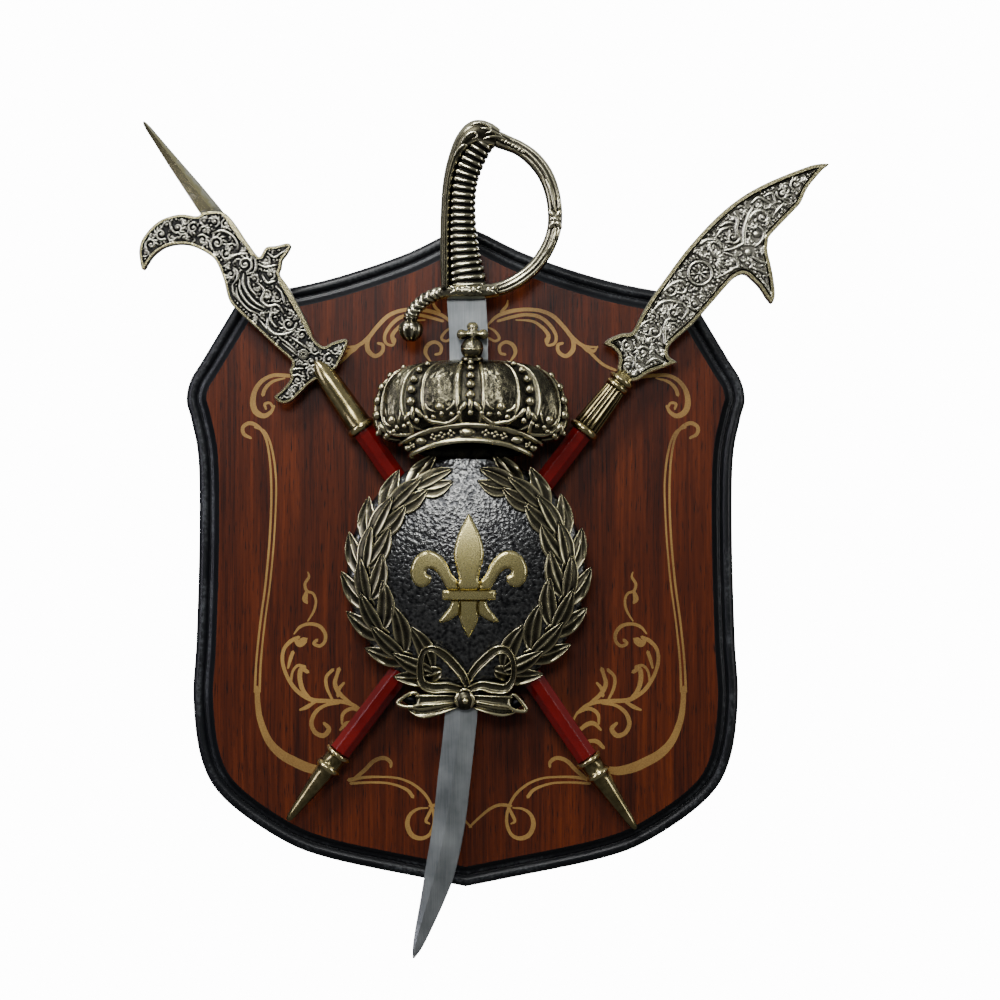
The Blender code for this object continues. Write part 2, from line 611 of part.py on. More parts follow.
def crown():
    frame = place(0.0, CROWN_AT, CROWN_AXIS) @ Matrix.Rotation(math.radians(-CROWN_TILT), 4, "X")
    profile = [(-21.0, 26.4), (-18.4, 27.6), (-17.8, 26.4), (-14.2, 29.0), (-13.2, 32.0),
               (-11.8, 30.4), (-6.8, CROWN_R - 2.8), (0.0, CROWN_R - 0.4), (8.0, CROWN_R - 3.0),
               (14.6, CROWN_R - 12.0),
               (17.8, 8.0)]
    body = turned("crown", profile, 16, frame, math.pi / 16, CROWN_FLAT)
    made = []

    def over(azimuth, high, out):
        radius = 0.0
        for (a, r), (b, s) in zip(profile, profile[1:]):
            if a <= high <= b:
                radius = r + (s - r) * (high - a) / (b - a)
        radius += out
        turn = math.radians(azimuth)
        return (radius * math.sin(turn), high, CROWN_FLAT * radius * math.cos(turn) + 0.6 * out)

    for azimuth in (-70.0, -33.0, 0.0, 33.0, 70.0):
        line = [over(azimuth + 0.7, high, 0.0) for high in (-6.2, 0.0, 8.0, 15.4)]
        made.append(rod("band", line, [7.4, 7.6, 6.4, 4.4], 4, frame, 0.3, math.pi / 4))
        for high, size in ((-2.6, 3.4), (4.6, 3.2), (11.0, 2.7)):
            made.append(bead("pearl", over(azimuth, high, 0.6), (size, size * 1.1, size * 0.8), frame))
    for k in range(-2, 3):
        made.append(bead("drop", over(31.0 * k + 0.5, -8.8, 0.8), (5.0, 3.6, 2.8), frame))
    for azimuth, wide in ((-44.0, 4.2), (0.5, 4.1), (44.0, 4.2)):
        made.append(bead("gem", over(azimuth, -16.0, 0.5), (wide, 1.8, 2.0), frame))
    seat = DISC_HEAD - CROWN_AT[1]
    made.append(prism("foot", [(-20.0, seat - 4.0), (20.0, seat - 4.0), (22.0, -16.4), (-22.0, -16.4)],
                      -8.4, -3.4, frame))
    made.append(bead("neck", (0.6, 17.2, 6.4), (5.0, 4.6, 3.6), frame))
    made.append(bead("orb", (0.6, 21.8, 7.6), (5.0, 5.0, 4.8), frame, 2))
    made.append(prism("cross", [(-1.8, 25.2), (3.0, 25.2), (3.4, 33.6), (-2.2, 33.6)], 6.0, 10.0, frame))
    made.append(prism("arms", [(-6.2, 27.4), (7.4, 27.4), (7.4, 31.6), (-6.2, 31.6)], 6.2, 9.8, frame))
    return droop(body), [droop(piece) for piece in made]


def ribbon():
    """Bow of flat ribbon: two loops, two arms, two tails and the knot."""
    made = []
    for side in (-1, 1):
        loop = [(2.0, 1.3, 17.0), (9.0, 10.3, 18.6), (16.4, 19.9, 19.6), (20.4, 16.3, 19.2),
                (20.8, 7.3, 18.0),
                (14.0, 3.5, 17.4), (3.0, 2.9, 17.4)]
        arm = [(1.5, -1.1, 14.0), (14.0, -1.3, 14.4), (21.0, -2.1, 14.8), (28.6, -5.3, 13.6)]
        tail = [(1.0, -2.7, 13.2), (10.0, -6.5, 13.4), (18.0, -9.7, 12.8), (22.4, -10.1, 12.2)]
        for name, line, sizes, deep in (("loop", loop, 1.5, 1.8), ("arm", arm, [3.6, 4.0, 4.2, 1.4], 0.8),
                                        ("tail", tail, [2.6, 3.0, 2.6, 1.2], 0.8)):
            path = [(side * across, DISC_FOOT + up, out) for across, up, out in line]
            made.append(rod(name, path, sizes, 4, FLAT, deep, math.pi / 4))
    made.append(bead("knot", (0.2, DISC_FOOT - 0.9, 15.6), (4.6, 4.8, 5.4)))
    high, low = DISC_FOOT + 12.3, DISC_FOOT - 5.7
    made.append(prism("pad", [(-12.0, high), (12.0, high), (9.0, low), (-9.0, low)], -1.2, 14.0))
    return made


def boss():
    facing = place(0.0, DISC_AT, 0.0) @ ALONG.inverted()
    profile = [(-1.0, DISC_R), (RIM_FRONT - 3.0, DISC_R + 1.0), (RIM_FRONT - 0.8, DISC_R - 0.6),
               (RIM_FRONT + 1.4, DISC_R - 5.6), (RIM_FRONT + 1.2, FIELD_R),
               (FIELD_FRONT - 1.8, FIELD_R - 14.0),
               (FIELD_FRONT, 8.0)]
    disc = turned("boss", profile, 24, facing)
    body, trim = crown()
    made = combine(disc, [body], "UNION")
    made = combine(made, wreath(), "UNION")
    made = combine(made, trim, "UNION")
    made = combine(made, ribbon() + [flower()], "UNION")
    cuts = [prism("floor", [(-90, -90), (90, -90), (90, 130), (-90, 130)], -60.0, GAP)]
    for lean in (HALBERD_LEAN, GLAIVE_LEAN):
        frame = place(lean, CROSS, SHAFT_HEIGHT)
        wide = SHAFT_WIDE / 2 + GAP
        corner = wide * math.tan(math.pi / 8)
        around = [(-wide, 20.0), (wide, 20.0), (wide, -corner), (corner, -wide), (-corner, -wide),
                  (-wide, -corner)]
        cuts.append(prism("groove", around, -90.0, 78.0, frame @ ALONG))
    top = BLADE_HEIGHT + BLADE_THICK / 2 + GAP
    slot_sides = [(-11.4, -90.0), (8.4, -90.0), (10.8, 90.0), (11.0, 111.0), (-8.8, 111.0), (-8.4, 60.0)]
    cuts.append(prism("blade_slot", slot_sides, -20.0, top))
    return combine(made, cuts, "DIFFERENCE")


walnut = material("board_face", (0.115, 0.026, 0.010), 0.0, 0.35)
brass = material("antique_brass", (0.36, 0.33, 0.19), 1.0, 0.35)
brass_hilt = material("hilt_brass", (0.40, 0.37, 0.25), 1.0, 0.32)
steel = material("blade_steel", (0.30, 0.32, 0.32), 1.0, 0.38)
red = material("shaft_red", (0.21, 0.012, 0.010), 0.0, 0.25)
brass_head = material("head_brass", (0.42, 0.40, 0.27), 1.0, 0.34)

finish(board(), walnut)
halberd = shaft("halberd_shaft", HALBERD_LEAN, HALBERD_RING_AT)
glaive = shaft("glaive_shaft", GLAIVE_LEAN, GLAIVE_RING_AT)
finish(combine(halberd, [halving(GLAIVE_LEAN, False)], "DIFFERENCE"), red)
finish(combine(glaive, [halving(HALBERD_LEAN, True)], "DIFFERENCE"), red)
finish(ferrule("halberd_ferrule", HALBERD_LEAN), brass_head)
finish(ferrule("glaive_ferrule", GLAIVE_LEAN), brass_head)
finish(halberd_head(), brass_head)
finish(glaive_head(), brass_head)
finish(sabre_blade(), steel)
finish(sabre_hilt(), brass_hilt)
finish(boss(), brass)
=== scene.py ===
import math

import bpy
import numpy as np
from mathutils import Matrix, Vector
from mathutils.geometry import delaunay_2d_cdt


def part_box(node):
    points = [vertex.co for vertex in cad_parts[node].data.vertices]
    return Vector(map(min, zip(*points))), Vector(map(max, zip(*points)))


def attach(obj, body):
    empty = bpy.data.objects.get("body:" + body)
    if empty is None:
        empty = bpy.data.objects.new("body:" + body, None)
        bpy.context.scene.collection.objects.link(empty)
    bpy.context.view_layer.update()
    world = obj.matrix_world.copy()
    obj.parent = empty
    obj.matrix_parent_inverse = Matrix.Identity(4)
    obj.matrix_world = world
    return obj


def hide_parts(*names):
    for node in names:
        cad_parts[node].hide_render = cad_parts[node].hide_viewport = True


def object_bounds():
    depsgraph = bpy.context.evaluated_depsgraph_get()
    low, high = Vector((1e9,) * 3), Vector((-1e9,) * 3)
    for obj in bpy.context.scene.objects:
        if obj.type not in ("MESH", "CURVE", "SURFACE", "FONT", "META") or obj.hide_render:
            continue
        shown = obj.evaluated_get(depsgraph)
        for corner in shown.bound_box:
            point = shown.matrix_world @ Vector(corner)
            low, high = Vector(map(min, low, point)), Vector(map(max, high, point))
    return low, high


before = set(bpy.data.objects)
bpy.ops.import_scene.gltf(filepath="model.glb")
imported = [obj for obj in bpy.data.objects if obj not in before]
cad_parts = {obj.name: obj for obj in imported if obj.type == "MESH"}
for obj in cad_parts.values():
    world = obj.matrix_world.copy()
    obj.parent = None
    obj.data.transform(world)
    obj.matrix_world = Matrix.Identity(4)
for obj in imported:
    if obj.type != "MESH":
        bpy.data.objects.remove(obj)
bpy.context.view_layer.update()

# Studio: a pale floor well below the plaque, a pale surround and soft lamps above and to the sides.
# The plaque has no wall behind it, so that its back and its hanger can be seen.
SIGHT = (0.0155, 0.02565)
SIGHT_DISTANCE = 1.012
FLOOR_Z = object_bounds()[0][2] - 0.03

camera = bpy.data.objects.new("camera", bpy.data.cameras.new("camera"))
camera.data.lens = 80.0
camera.data.sensor_width = 36.0
camera.location = (SIGHT[0], -SIGHT_DISTANCE, SIGHT[1])
camera.rotation_euler = (math.radians(90), 0, 0)
bpy.context.scene.collection.objects.link(camera)
bpy.context.scene.camera = camera


def nodes_of(owner):
    owner.use_nodes = True
    owner.node_tree.nodes.clear()
    return owner.node_tree


def add(tree, kind, inputs=None, **settings):
    """A node with its settings, and with each named input set or linked."""
    made = tree.nodes.new(kind)
    for name, value in settings.items():
        setattr(made, name, value)
    for name, value in (inputs or {}).items():
        if isinstance(value, bpy.types.NodeSocket):
            tree.links.new(value, made.inputs[name])
        else:
            made.inputs[name].default_value = value
    return made


world = bpy.data.worlds.new("studio")
bpy.context.scene.world = world
air = nodes_of(world)
seen = add(air, "ShaderNodeLightPath").outputs["Is Camera Ray"]
pale = add(air, "ShaderNodeBackground", {"Color": (1.0, 1.0, 1.0, 1.0), "Strength": 14.0})
height = add(air, "ShaderNodeSeparateXYZ", {"Vector": add(air, "ShaderNodeTexCoord").outputs["Generated"]})
glow = add(air, "ShaderNodeMapRange", {"Value": height.outputs["Z"], "From Min": -0.15, "From Max": 0.9,
                                       "To Min": 0.02, "To Max": 0.42})
dim = add(air, "ShaderNodeBackground", {"Color": (0.93, 0.96, 1.0, 1.0), "Strength": glow.outputs[0]})
both = add(air, "ShaderNodeMixShader", {0: seen, 1: dim.outputs[0], 2: pale.outputs[0]})
add(air, "ShaderNodeOutputWorld", {"Surface": both.outputs[0]})


def lamp(name, at, aim, size, power, tint=(1.0, 1.0, 1.0)):
    data = bpy.data.lights.new(name, "AREA")
    data.shape = "RECTANGLE"
    data.size, data.size_y = size
    data.energy = power
    data.color = tint
    made = bpy.data.objects.new(name, data)
    made.location = at
    made.rotation_euler = (Vector(aim) - Vector(at)).to_track_quat("-Z", "Y").to_euler()
    bpy.context.scene.collection.objects.link(made)


lamp("ceiling_lamp", (-0.30, -0.60, 0.85), (0.0, 0.0, 0.0), (0.26, 0.16), 7.5)
lamp("front_lamp", (-0.12, -1.55, 0.66), (0.0, 0.0, 0.0), (0.60, 0.36), 10.0)
lamp("left_lamp", (-1.05, -0.75, 0.30), (0.0, 0.0, 0.0), (0.20, 0.80), 6.0, (0.88, 0.86, 1.0))
lamp("right_lamp", (1.10, -0.65, 0.20), (0.0, 0.0, 0.0), (0.18, 0.70), 3.0)
lamp("back_lamp", (0.3, 1.1, 0.6), (0.0, 0.0, 0.0), (0.8, 0.5), 9.0)

mesh = bpy.data.meshes.new("floor")
mesh.from_pydata([(-4, -3, FLOOR_Z), (4, -3, FLOOR_Z), (4, 5, FLOOR_Z), (-4, 5, FLOOR_Z)], [], [(0, 1, 2, 3)])
floor = bpy.data.objects.new("floor", mesh)
bpy.context.scene.collection.objects.link(floor)
paint = bpy.data.materials.new("floor_paint")
tree = nodes_of(paint)
seen = add(tree, "ShaderNodeLightPath").outputs["Is Camera Ray"]
shader = add(tree, "ShaderNodeBsdfPrincipled", {"Base Color": (0.06, 0.06, 0.06, 1), "Roughness": 0.8})
bright = add(tree, "ShaderNodeEmission", {"Color": (1.0, 1.0, 1.0, 1.0), "Strength": 14.0})
both = add(tree, "ShaderNodeMixShader", {0: seen, 1: shader.outputs[0], 2: bright.outputs[0]})
add(tree, "ShaderNodeOutputMaterial", {"Surface": both.outputs[0]})
mesh.materials.append(paint)

# Board: a shield of mahogany-faced board with a moulded edge, sprayed satin black; the grey along its ridges
# is partly rubbed wear and partly painted highlight. The scrollwork is printed in dull gold ink under the
# clear lacquer, so it has no thickness.
FACE_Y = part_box("board")[0].y * 1000
BOARD_TOP = 149.0
SHOULDER = [(7.7, 146.3), (29.7, 135.9), (64.6, 124.7), (101.7, 117.5)]
FLANK = [(101.7, 117.5), (108.2, 106.7), (119.0, 88.7), (124.4, 79.7), (126.2, 70.7), (124.0, 61.7),
         (120.8, 43.7), (120.4, 8.0), (121.7, -37.4), (123.1, -64.0), (119.5, -91.4), (109.0, -109.4),
         (84.0, -127.4), (61.0, -136.4), (18.0, -145.4), (0.0, -149.0)]
# How far in from the edge, and how far behind the face.
EDGE = [(0.0, 13.8), (0.0, 6.4), (0.15, 5.4), (0.6, 4.3), (1.3, 3.6), (2.2, 3.15), (3.0, 3.05), (3.8, 3.2),
        (4.6, 3.75), (5.15, 4.35), (5.35, 4.4), (5.5, 4.1), (5.75, 3.5), (6.1, 3.25), (6.7, 3.2), (7.2, 3.0),
        (7.9, 2.2), (8.6, 1.3), (9.2, 0.55), (9.6, 0.1), (9.75, 0.0)]
# The two ridges of the moulding, where the black is rubbed and grey is painted as highlight.
OUTER_RIDGE = 2.8
INNER_RIDGE = 6.4
PRINT_MIDDLE = 2.2
PRESSURE = 0.84
# Each stroke of the print on the right half: distance from the print's middle, height, half width.
PRINT = {
    "arch": [(7.0, 103.3, 0.4), (11.4, 107.8, 0.9), (16.8, 110.1, 1.1), (24.0, 111.2, 1.0),
             (31.2, 110.7, 1.0), (37.0, 108.3, 1.1), (42.0, 103.3, 1.1), (46.0, 98.4, 1.1), (51.0, 94.8, 0.9),
             (57.2, 94.3, 0.4)],
    "arch_under": [(12.3, 106.0, 0.7), (18.6, 107.8, 0.9), (24.9, 108.9, 0.9), (31.2, 107.8, 1.0),
                   (35.7, 104.2, 1.0), (38.4, 99.7, 0.9), (37.9, 96.1, 0.8), (34.8, 95.2, 0.7),
                   (33.9, 97.9, 0.8)],
    "arch_inner": [(20.4, 106.5, 0.4), (27.6, 106.0, 0.7), (32.1, 103.3, 0.9), (35.0, 99.7, 1.1),
                   (34.3, 96.6, 1.3)],
    "arch_curl": [(42.9, 102.4, 0.7), (46.0, 97.5, 1.1), (46.0, 93.0, 1.3), (42.9, 90.3, 1.1),
                  (39.7, 92.1, 1.0), (39.3, 95.2, 0.9), (41.5, 96.1, 0.7)],
    "arch_leaf": [(49.2, 96.1, 0.7), (52.8, 93.0, 1.3), (55.5, 92.6, 0.9), (57.2, 94.8, 0.3)],
    "arch_tail": [(53.2, 92.6, 0.9), (57.2, 88.5, 0.8), (60.8, 85.8, 0.8), (65.3, 84.0, 0.7)],
    "arch_bud": [(16.8, 115.4, 0.3), (16.2, 112.8, 0.8), (13.7, 110.1, 0.7)],
    "hook": [(7.9, 103.3, 0.4), (11.0, 101.5, 0.7), (13.0, 98.4, 0.8), (11.0, 97.0, 0.7), (8.3, 98.4, 0.6)],
    "spiral": [(17.7, 87.6, 0.4), (20.2, 91.7, 1.0), (19.1, 95.2, 1.1), (15.9, 96.6, 0.9), (13.2, 94.8, 0.9),
               (13.5, 91.7, 0.8), (15.7, 91.0, 0.7)],
    "side_curl": [(69.8, 79.5, 0.4), (77.0, 80.9, 0.8), (83.3, 81.6, 1.0), (88.7, 81.6, 1.0),
                  (93.6, 79.1, 1.1), (96.8, 74.6, 1.3), (97.7, 69.2, 1.6), (96.3, 65.2, 1.6),
                  (92.7, 63.4, 1.3), (89.6, 65.2, 1.0), (88.2, 67.9, 0.7)],
    "side_hook": [(83.3, 80.4, 0.4), (88.7, 78.9, 0.8), (92.0, 75.9, 1.0), (93.2, 72.8, 1.0)],
    "side_bud": [(88.5, 67.0, 0.7), (90.0, 69.2, 0.7), (92.3, 68.8, 0.8), (91.8, 66.5, 0.6)],
    "long_outer": [(98.6, 53.5, 0.7), (101.7, 55.3, 1.0), (102.1, 58.4, 1.0), (99.0, 60.2, 1.1),
                   (95.0, 58.4, 0.9), (92.3, 54.4, 0.7), (90.7, 48.1, 0.6), (89.7, 39.1, 0.6),
                   (89.4, 25.6, 0.6), (90.2, 7.7, 0.6), (92.0, -12.1, 0.6), (94.3, -29.1, 0.6),
                   (96.1, -46.6, 0.6), (96.8, -60.6, 0.7)],
    "long_inner": [(96.8, 58.4, 0.6), (92.7, 56.6, 0.7), (90.0, 51.7, 0.6), (88.2, 43.6, 0.6),
                   (87.3, 34.6, 0.5), (87.3, 25.6, 0.5), (88.2, 7.7, 0.5), (90.0, -12.1, 0.5),
                   (92.3, -29.1, 0.5), (94.1, -46.6, 0.6), (94.7, -60.6, 0.7)],
    "sweep": [(95.8, -58.8, 1.4), (95.4, -66.8, 1.5), (94.1, -74.0, 1.7), (90.5, -82.6, 2.0),
              (85.1, -88.4, 2.4), (78.8, -92.0, 2.6), (72.5, -94.7, 2.6), (65.3, -96.0, 2.2),
              (59.9, -94.2, 1.3), (57.2, -90.2, 0.7)],
    "foot_leaf": [(52.8, -100.1, 0.9), (47.4, -95.6, 1.1), (43.3, -91.5, 1.1), (38.8, -90.2, 1.1),
                  (35.9, -92.0, 1.0), (35.7, -94.2, 0.7)],
    "foot_outer": [(54.6, -100.1, 1.1), (47.4, -98.9, 0.8), (40.2, -98.7, 0.6), (33.0, -99.2, 0.6),
                   (26.7, -101.4, 0.7), (21.3, -105.5, 0.8), (18.0, -110.4, 0.8), (16.4, -115.8, 0.8),
                   (16.6, -120.7, 0.9), (18.6, -124.8, 0.9), (22.2, -126.3, 1.1), (26.3, -124.8, 1.3),
                   (28.3, -120.3, 1.3), (27.2, -115.8, 1.0), (23.6, -113.1, 0.7), (19.1, -112.6, 0.4)],
    "foot_inner": [(53.7, -101.6, 0.8), (45.6, -101.2, 0.6), (37.9, -101.4, 0.6), (32.1, -102.8, 0.7),
                   (28.1, -104.8, 0.9), (25.8, -107.7, 1.0)],
    "foot_tongue": [(17.3, -112.6, 0.7), (18.6, -115.3, 0.9), (20.0, -118.5, 0.8), (18.2, -119.8, 0.4)],
    "point": [(18.2, -111.7, 0.9), (13.2, -111.3, 0.9), (8.8, -113.1, 0.8), (4.3, -116.7, 0.7),
              (-0.4, -121.2, 0.6)],
    "wisp": [(73.0, -6.7, 0.3), (72.5, -8.9, 0.7), (74.3, -12.1, 0.8), (73.4, -15.2, 0.8), (70.7, -16.3, 0.7),
             (69.4, -19.7, 0.7), (70.3, -24.2, 0.7), (73.0, -28.7, 0.4)],
    "wisp_dot": [(73.6, -15.7, 0.9), (74.3, -18.8, 1.5), (73.4, -20.6, 0.7)],
    "hoop": [(79.2, -34.5, 0.4), (76.6, -31.4, 0.8), (72.5, -30.0, 0.9), (68.0, -30.9, 1.0),
             (65.3, -34.1, 1.0), (65.3, -37.7, 0.9), (67.6, -39.9, 0.9), (70.3, -38.8, 0.9),
             (68.9, -37.2, 0.9)],
    "stem_ball": [(74.3, -37.2, 1.8), (76.6, -38.6, 2.2), (78.4, -37.7, 1.1)],
    "stem": [(77.0, -35.9, 0.9), (80.6, -37.7, 1.1), (83.7, -41.3, 1.0), (84.4, -46.6, 1.0),
             (82.8, -52.5, 1.0), (79.7, -57.9, 1.1), (76.1, -61.5, 1.1), (70.7, -64.2, 1.2),
             (63.5, -64.6, 1.1), (57.2, -65.0, 1.1), (51.9, -66.8, 1.0), (47.8, -70.4, 0.7),
             (46.2, -73.6, 0.4)],
    "stem_leaf": [(79.7, -42.6, 1.0), (80.8, -45.7, 1.0), (81.9, -49.8, 0.6)],
    "side_leaf": [(71.6, -63.9, 0.7), (75.2, -59.7, 1.2), (76.6, -54.3, 1.3), (75.9, -50.2, 1.3),
                  (73.0, -51.6, 1.0)],
    "side_leaf_back": [(74.3, -49.3, 0.9), (77.5, -48.7, 0.8), (79.9, -51.6, 0.7), (80.6, -56.5, 0.6)],
    "up_leaf": [(53.7, -65.5, 0.7), (58.6, -61.5, 1.2), (60.8, -57.0, 1.2), (59.9, -52.9, 1.0),
                (59.0, -50.2, 1.2)],
    "up_leaf_back": [(61.7, -64.6, 0.6), (64.4, -58.8, 0.9), (64.7, -53.8, 0.9), (61.7, -50.5, 0.9)],
    "up_bud": [(56.8, -56.5, 0.7), (59.0, -59.2, 1.0), (59.5, -62.4, 0.9)],
    "down_curl": [(59.0, -65.5, 0.7), (65.3, -66.6, 0.9), (69.8, -70.0, 1.1), (71.4, -74.9, 1.2),
                  (69.4, -79.0, 1.2), (65.8, -80.1, 1.3), (63.5, -77.2, 1.3), (65.8, -74.5, 0.8)],
    "stub": [(69.8, -65.0, 0.8), (73.4, -67.3, 1.1), (76.6, -68.6, 0.6)],
    "low_leaf": [(47.8, -70.0, 0.7), (53.2, -68.0, 1.0), (57.2, -70.4, 1.0), (57.7, -74.9, 0.6)],
    "low_bud": [(47.8, -79.0, 0.9), (51.9, -75.4, 1.2), (55.5, -74.7, 1.2), (58.6, -77.6, 0.6)],
    "low_tip": [(52.8, -82.6, 0.9), (56.8, -82.8, 1.2), (59.9, -85.7, 0.9)],
}


def through(points, steps, closed=False):
    """A smooth line through given points; every column is carried along, widths too."""
    p = np.array(points, float)
    if closed:
        p = np.vstack([p[-1:], p, p[:2]])
    else:
        p = np.vstack([p[0] * 2 - p[1], p, p[-1] * 2 - p[-2]])
    t = np.linspace(0, 1, steps, endpoint=False)[:, None]
    rows = []
    for a, b, c, d in zip(p, p[1:], p[2:], p[3:]):
        rows.append(0.5 * (2 * b + (c - a) * t + (2 * a - 5 * b + 4 * c - d) * t ** 2
                           + (3 * b - a - 3 * c + d) * t ** 3))
    if not closed:
        rows.append(p[-2:-1])
    return np.vstack(rows)


def sideways(line):
    """Unit direction to the left of the line at each of its points."""
    xy = line[:, :2]
    run = np.roll(xy, -1, 0) - np.roll(xy, 1, 0)
    run[0] = xy[1] - xy[0]
    run[-1] = xy[-1] - xy[-2]
    run /= np.linalg.norm(run, axis=1)[:, None] + 1e-9
    return np.stack([-run[:, 1], run[:, 0]], 1)


def brush(points):
    """Outline of a printed stroke, with a rounded end at each side."""
    line = through(points, 5)
    side = sideways(line)
    half = line[:, 2:3] * PRESSURE
    ahead = np.stack([side[:, 1], -side[:, 0]], 1)
    start = line[:1, :2] - ahead[:1] * half[:1]
    end = line[-1:, :2] + ahead[-1:] * half[-1:]
    return np.vstack([start, line[:, :2] - side * half, end, (line[:, :2] + side * half)[::-1]])


def make(name, points, faces, looks, smooth=True, wear_and_painted_light=None):
    """A mesh piece from points in millimetres, riding on the plaque."""
    data = bpy.data.meshes.new(name)
    data.from_pydata((np.asarray(points, float) / 1000).tolist(), [], faces)
    data.polygons.foreach_set("use_smooth", [smooth] * len(data.polygons))
    for finish in looks if isinstance(looks, list) else [looks]:
        data.materials.append(finish)
    if wear_and_painted_light is not None:
        data.attributes.new("wear_and_painted_light", "FLOAT", "POINT").data.foreach_set("value", np.asarray(wear_and_painted_light, np.float32))
    data.validate()
    made = bpy.data.objects.new(name, data)
    bpy.context.scene.collection.objects.link(made)
    return made


def board_outline():
    """Anticlockwise from the tip: right flank up, shoulders, left flank down."""
    shoulder = through([(0.0, BOARD_TOP)] + SHOULDER, 6)
    right = np.vstack([shoulder[:-1], through(FLANK, 6)])
    left = right[1:-1][::-1] * (-1, 1)
    return np.vstack([right, left])[::-1]


def moved_in(outline, by):
    before = outline - np.roll(outline, 1, 0)
    after = np.roll(outline, -1, 0) - outline
    before /= np.linalg.norm(before, axis=1)[:, None]
    after /= np.linalg.norm(after, axis=1)[:, None]
    middle = before + after
    middle /= np.linalg.norm(middle, axis=1)[:, None]
    inwards = np.stack([-middle[:, 1], middle[:, 0]], 1)
    return outline + inwards * (by / np.maximum(0.35, (middle * after).sum(1)))[:, None]


def new_finish(name):
    """A new finish, its node tree, and the place on the piece as a vector."""
    made = bpy.data.materials.new(name)
    tree = nodes_of(made)
    return made, tree, add(tree, "ShaderNodeTexCoord").outputs["Object"]


def noise(tree, place, scale, detail, rough=0.5):
    return add(tree, "ShaderNodeTexNoise", {"Vector": place, "Scale": scale, "Detail": detail,
                                            "Roughness": rough}).outputs["Fac"]


def tones(tree, factor, *stops):
    """Colours along a factor, each with its place, from low to high."""
    ramp = add(tree, "ShaderNodeValToRGB", {"Fac": factor})
    ends = ramp.color_ramp.elements
    for end, (place, colour) in zip(ends, (stops[0], stops[-1])):
        end.position, end.color = place, (*colour, 1)
    for place, colour in stops[1:-1]:
        ends.new(place).color = (*colour, 1)
    return ramp.outputs["Color"]


def scaled(tree, value, by, plus=0.0):
    """One value times another, and a third added."""
    return add(tree, "ShaderNodeMath", {0: value, 1: by, 2: plus}, operation="MULTIPLY_ADD").outputs[0]


def stretched(tree, place, by):
    return add(tree, "ShaderNodeVectorMath", {0: place, 1: by}, operation="MULTIPLY").outputs[0]


def rise(tree, value, low, high):
    """0 below low, 1 above high, and a slope between them."""
    return add(tree, "ShaderNodeMapRange", {"Value": value, "From Min": low, "From Max": high}).outputs[0]


def spread(tree, value, low, high):
    return add(tree, "ShaderNodeMapRange", {"Value": value, "To Min": low, "To Max": high}).outputs[0]


def dents(tree, height, strength, distance):
    return add(tree, "ShaderNodeBump", {"Height": height, "Strength": strength, "Distance": distance})


def surface(tree, sockets):
    """The one shader of a finish, with its sockets set or linked."""
    shader = add(tree, "ShaderNodeBsdfPrincipled", sockets)
    add(tree, "ShaderNodeOutputMaterial", {"Surface": shader.outputs[0]})


def lacquered_wood(name):
    """Mahogany veneer: fine upright grain, darker streaks and pores, under a clear coat."""
    made, tree, place = new_finish(name)
    drift = add(tree, "ShaderNodeTexNoise", {"Vector": place, "Scale": 9.0, "Detail": 2.0})
    bend = stretched(tree, drift.outputs["Color"], (0.004, 0.0, 0.0))
    bent = add(tree, "ShaderNodeVectorMath", {0: place, 1: bend}, operation="ADD").outputs[0]

    def grain(across, along, detail, rough):
        return noise(tree, stretched(tree, bent, (across, 1.0, along)), 1.0, detail, rough)

    broad = grain(120.0, 5.0, 4.0, 0.6)
    fine = grain(760.0, 15.0, 3.0, 0.7)
    pores = grain(2200.0, 110.0, 1.0, 0.5)
    tone = scaled(tree, fine, 0.52, scaled(tree, broad, 0.48))
    colour = tones(tree, tone, (0.36, (0.022, 0.0036, 0.0012)), (0.5, (0.066, 0.0108, 0.0015)),
                   (0.64, (0.128, 0.0225, 0.0032)))
    shade = add(tree, "ShaderNodeMix", {"Factor": rise(tree, pores, 0.60, 0.70), "A": colour,
                                        "B": (0.009, 0.0022, 0.0012, 1)}, data_type="RGBA")
    surface(tree, {"Base Color": shade.outputs["Result"], "Roughness": spread(tree, fine, 0.30, 0.44),
                   "Normal": dents(tree, tone, 0.06, 0.0004).outputs[0],
                   "Coat Weight": 0.10, "Coat Roughness": 0.18, "Specular IOR Level": 0.25})
    return made


def gold_ink(name):
    """Dull gold print, a little uneven where the screen pressed it."""
    made, tree, place = new_finish(name)
    speck = noise(tree, place, 1500.0, 2.0)
    cloud = noise(tree, place, 26.0, 3.0)
    colour = tones(tree, scaled(tree, speck, 0.5, cloud), (0.5, (0.175, 0.088, 0.021)),
                   (1.0, (0.45, 0.262, 0.066)))
    surface(tree, {"Base Color": colour, "Roughness": 0.42, "Metallic": 0.25,
                   "Coat Weight": 0.3, "Coat Roughness": 0.2})
    return made


def edge_paint(name):
    """Satin black with dust; grey along the ridges that is partly rubbed wear and partly painted highlight.
    """
    made, tree, place = new_finish(name)
    wear_and_painted_light = add(tree, "ShaderNodeAttribute", attribute_name="wear_and_painted_light").outputs["Fac"]
    grit = noise(tree, place, 620.0, 4.0, 0.7)
    patch = noise(tree, place, 45.0, 3.0)
    # The grey on the ridges: partly rubbed wear, partly painted highlight lines.
    rub = scaled(tree, rise(tree, scaled(tree, grit, patch), 0.24, 0.36), wear_and_painted_light)
    shade = add(tree, "ShaderNodeMix", {"Factor": rub, "A": (0.0035, 0.0042, 0.0055, 1),
                                        "B": (0.055, 0.060, 0.064, 1)}, data_type="RGBA")
    surface(tree, {"Base Color": shade.outputs["Result"], "Roughness": spread(tree, patch, 0.26, 0.50),
                   "Normal": dents(tree, grit, 0.25, 0.0003).outputs[0], "Specular IOR Level": 0.35})
    return made


def between_rings(rows, count):
    """Faces of a skin through closed rings of points."""
    return [(row + k, row + (k + 1) % count, row + count + (k + 1) % count, row + count + k)
            for row in range(0, (rows - 1) * count, count) for k in range(count)]


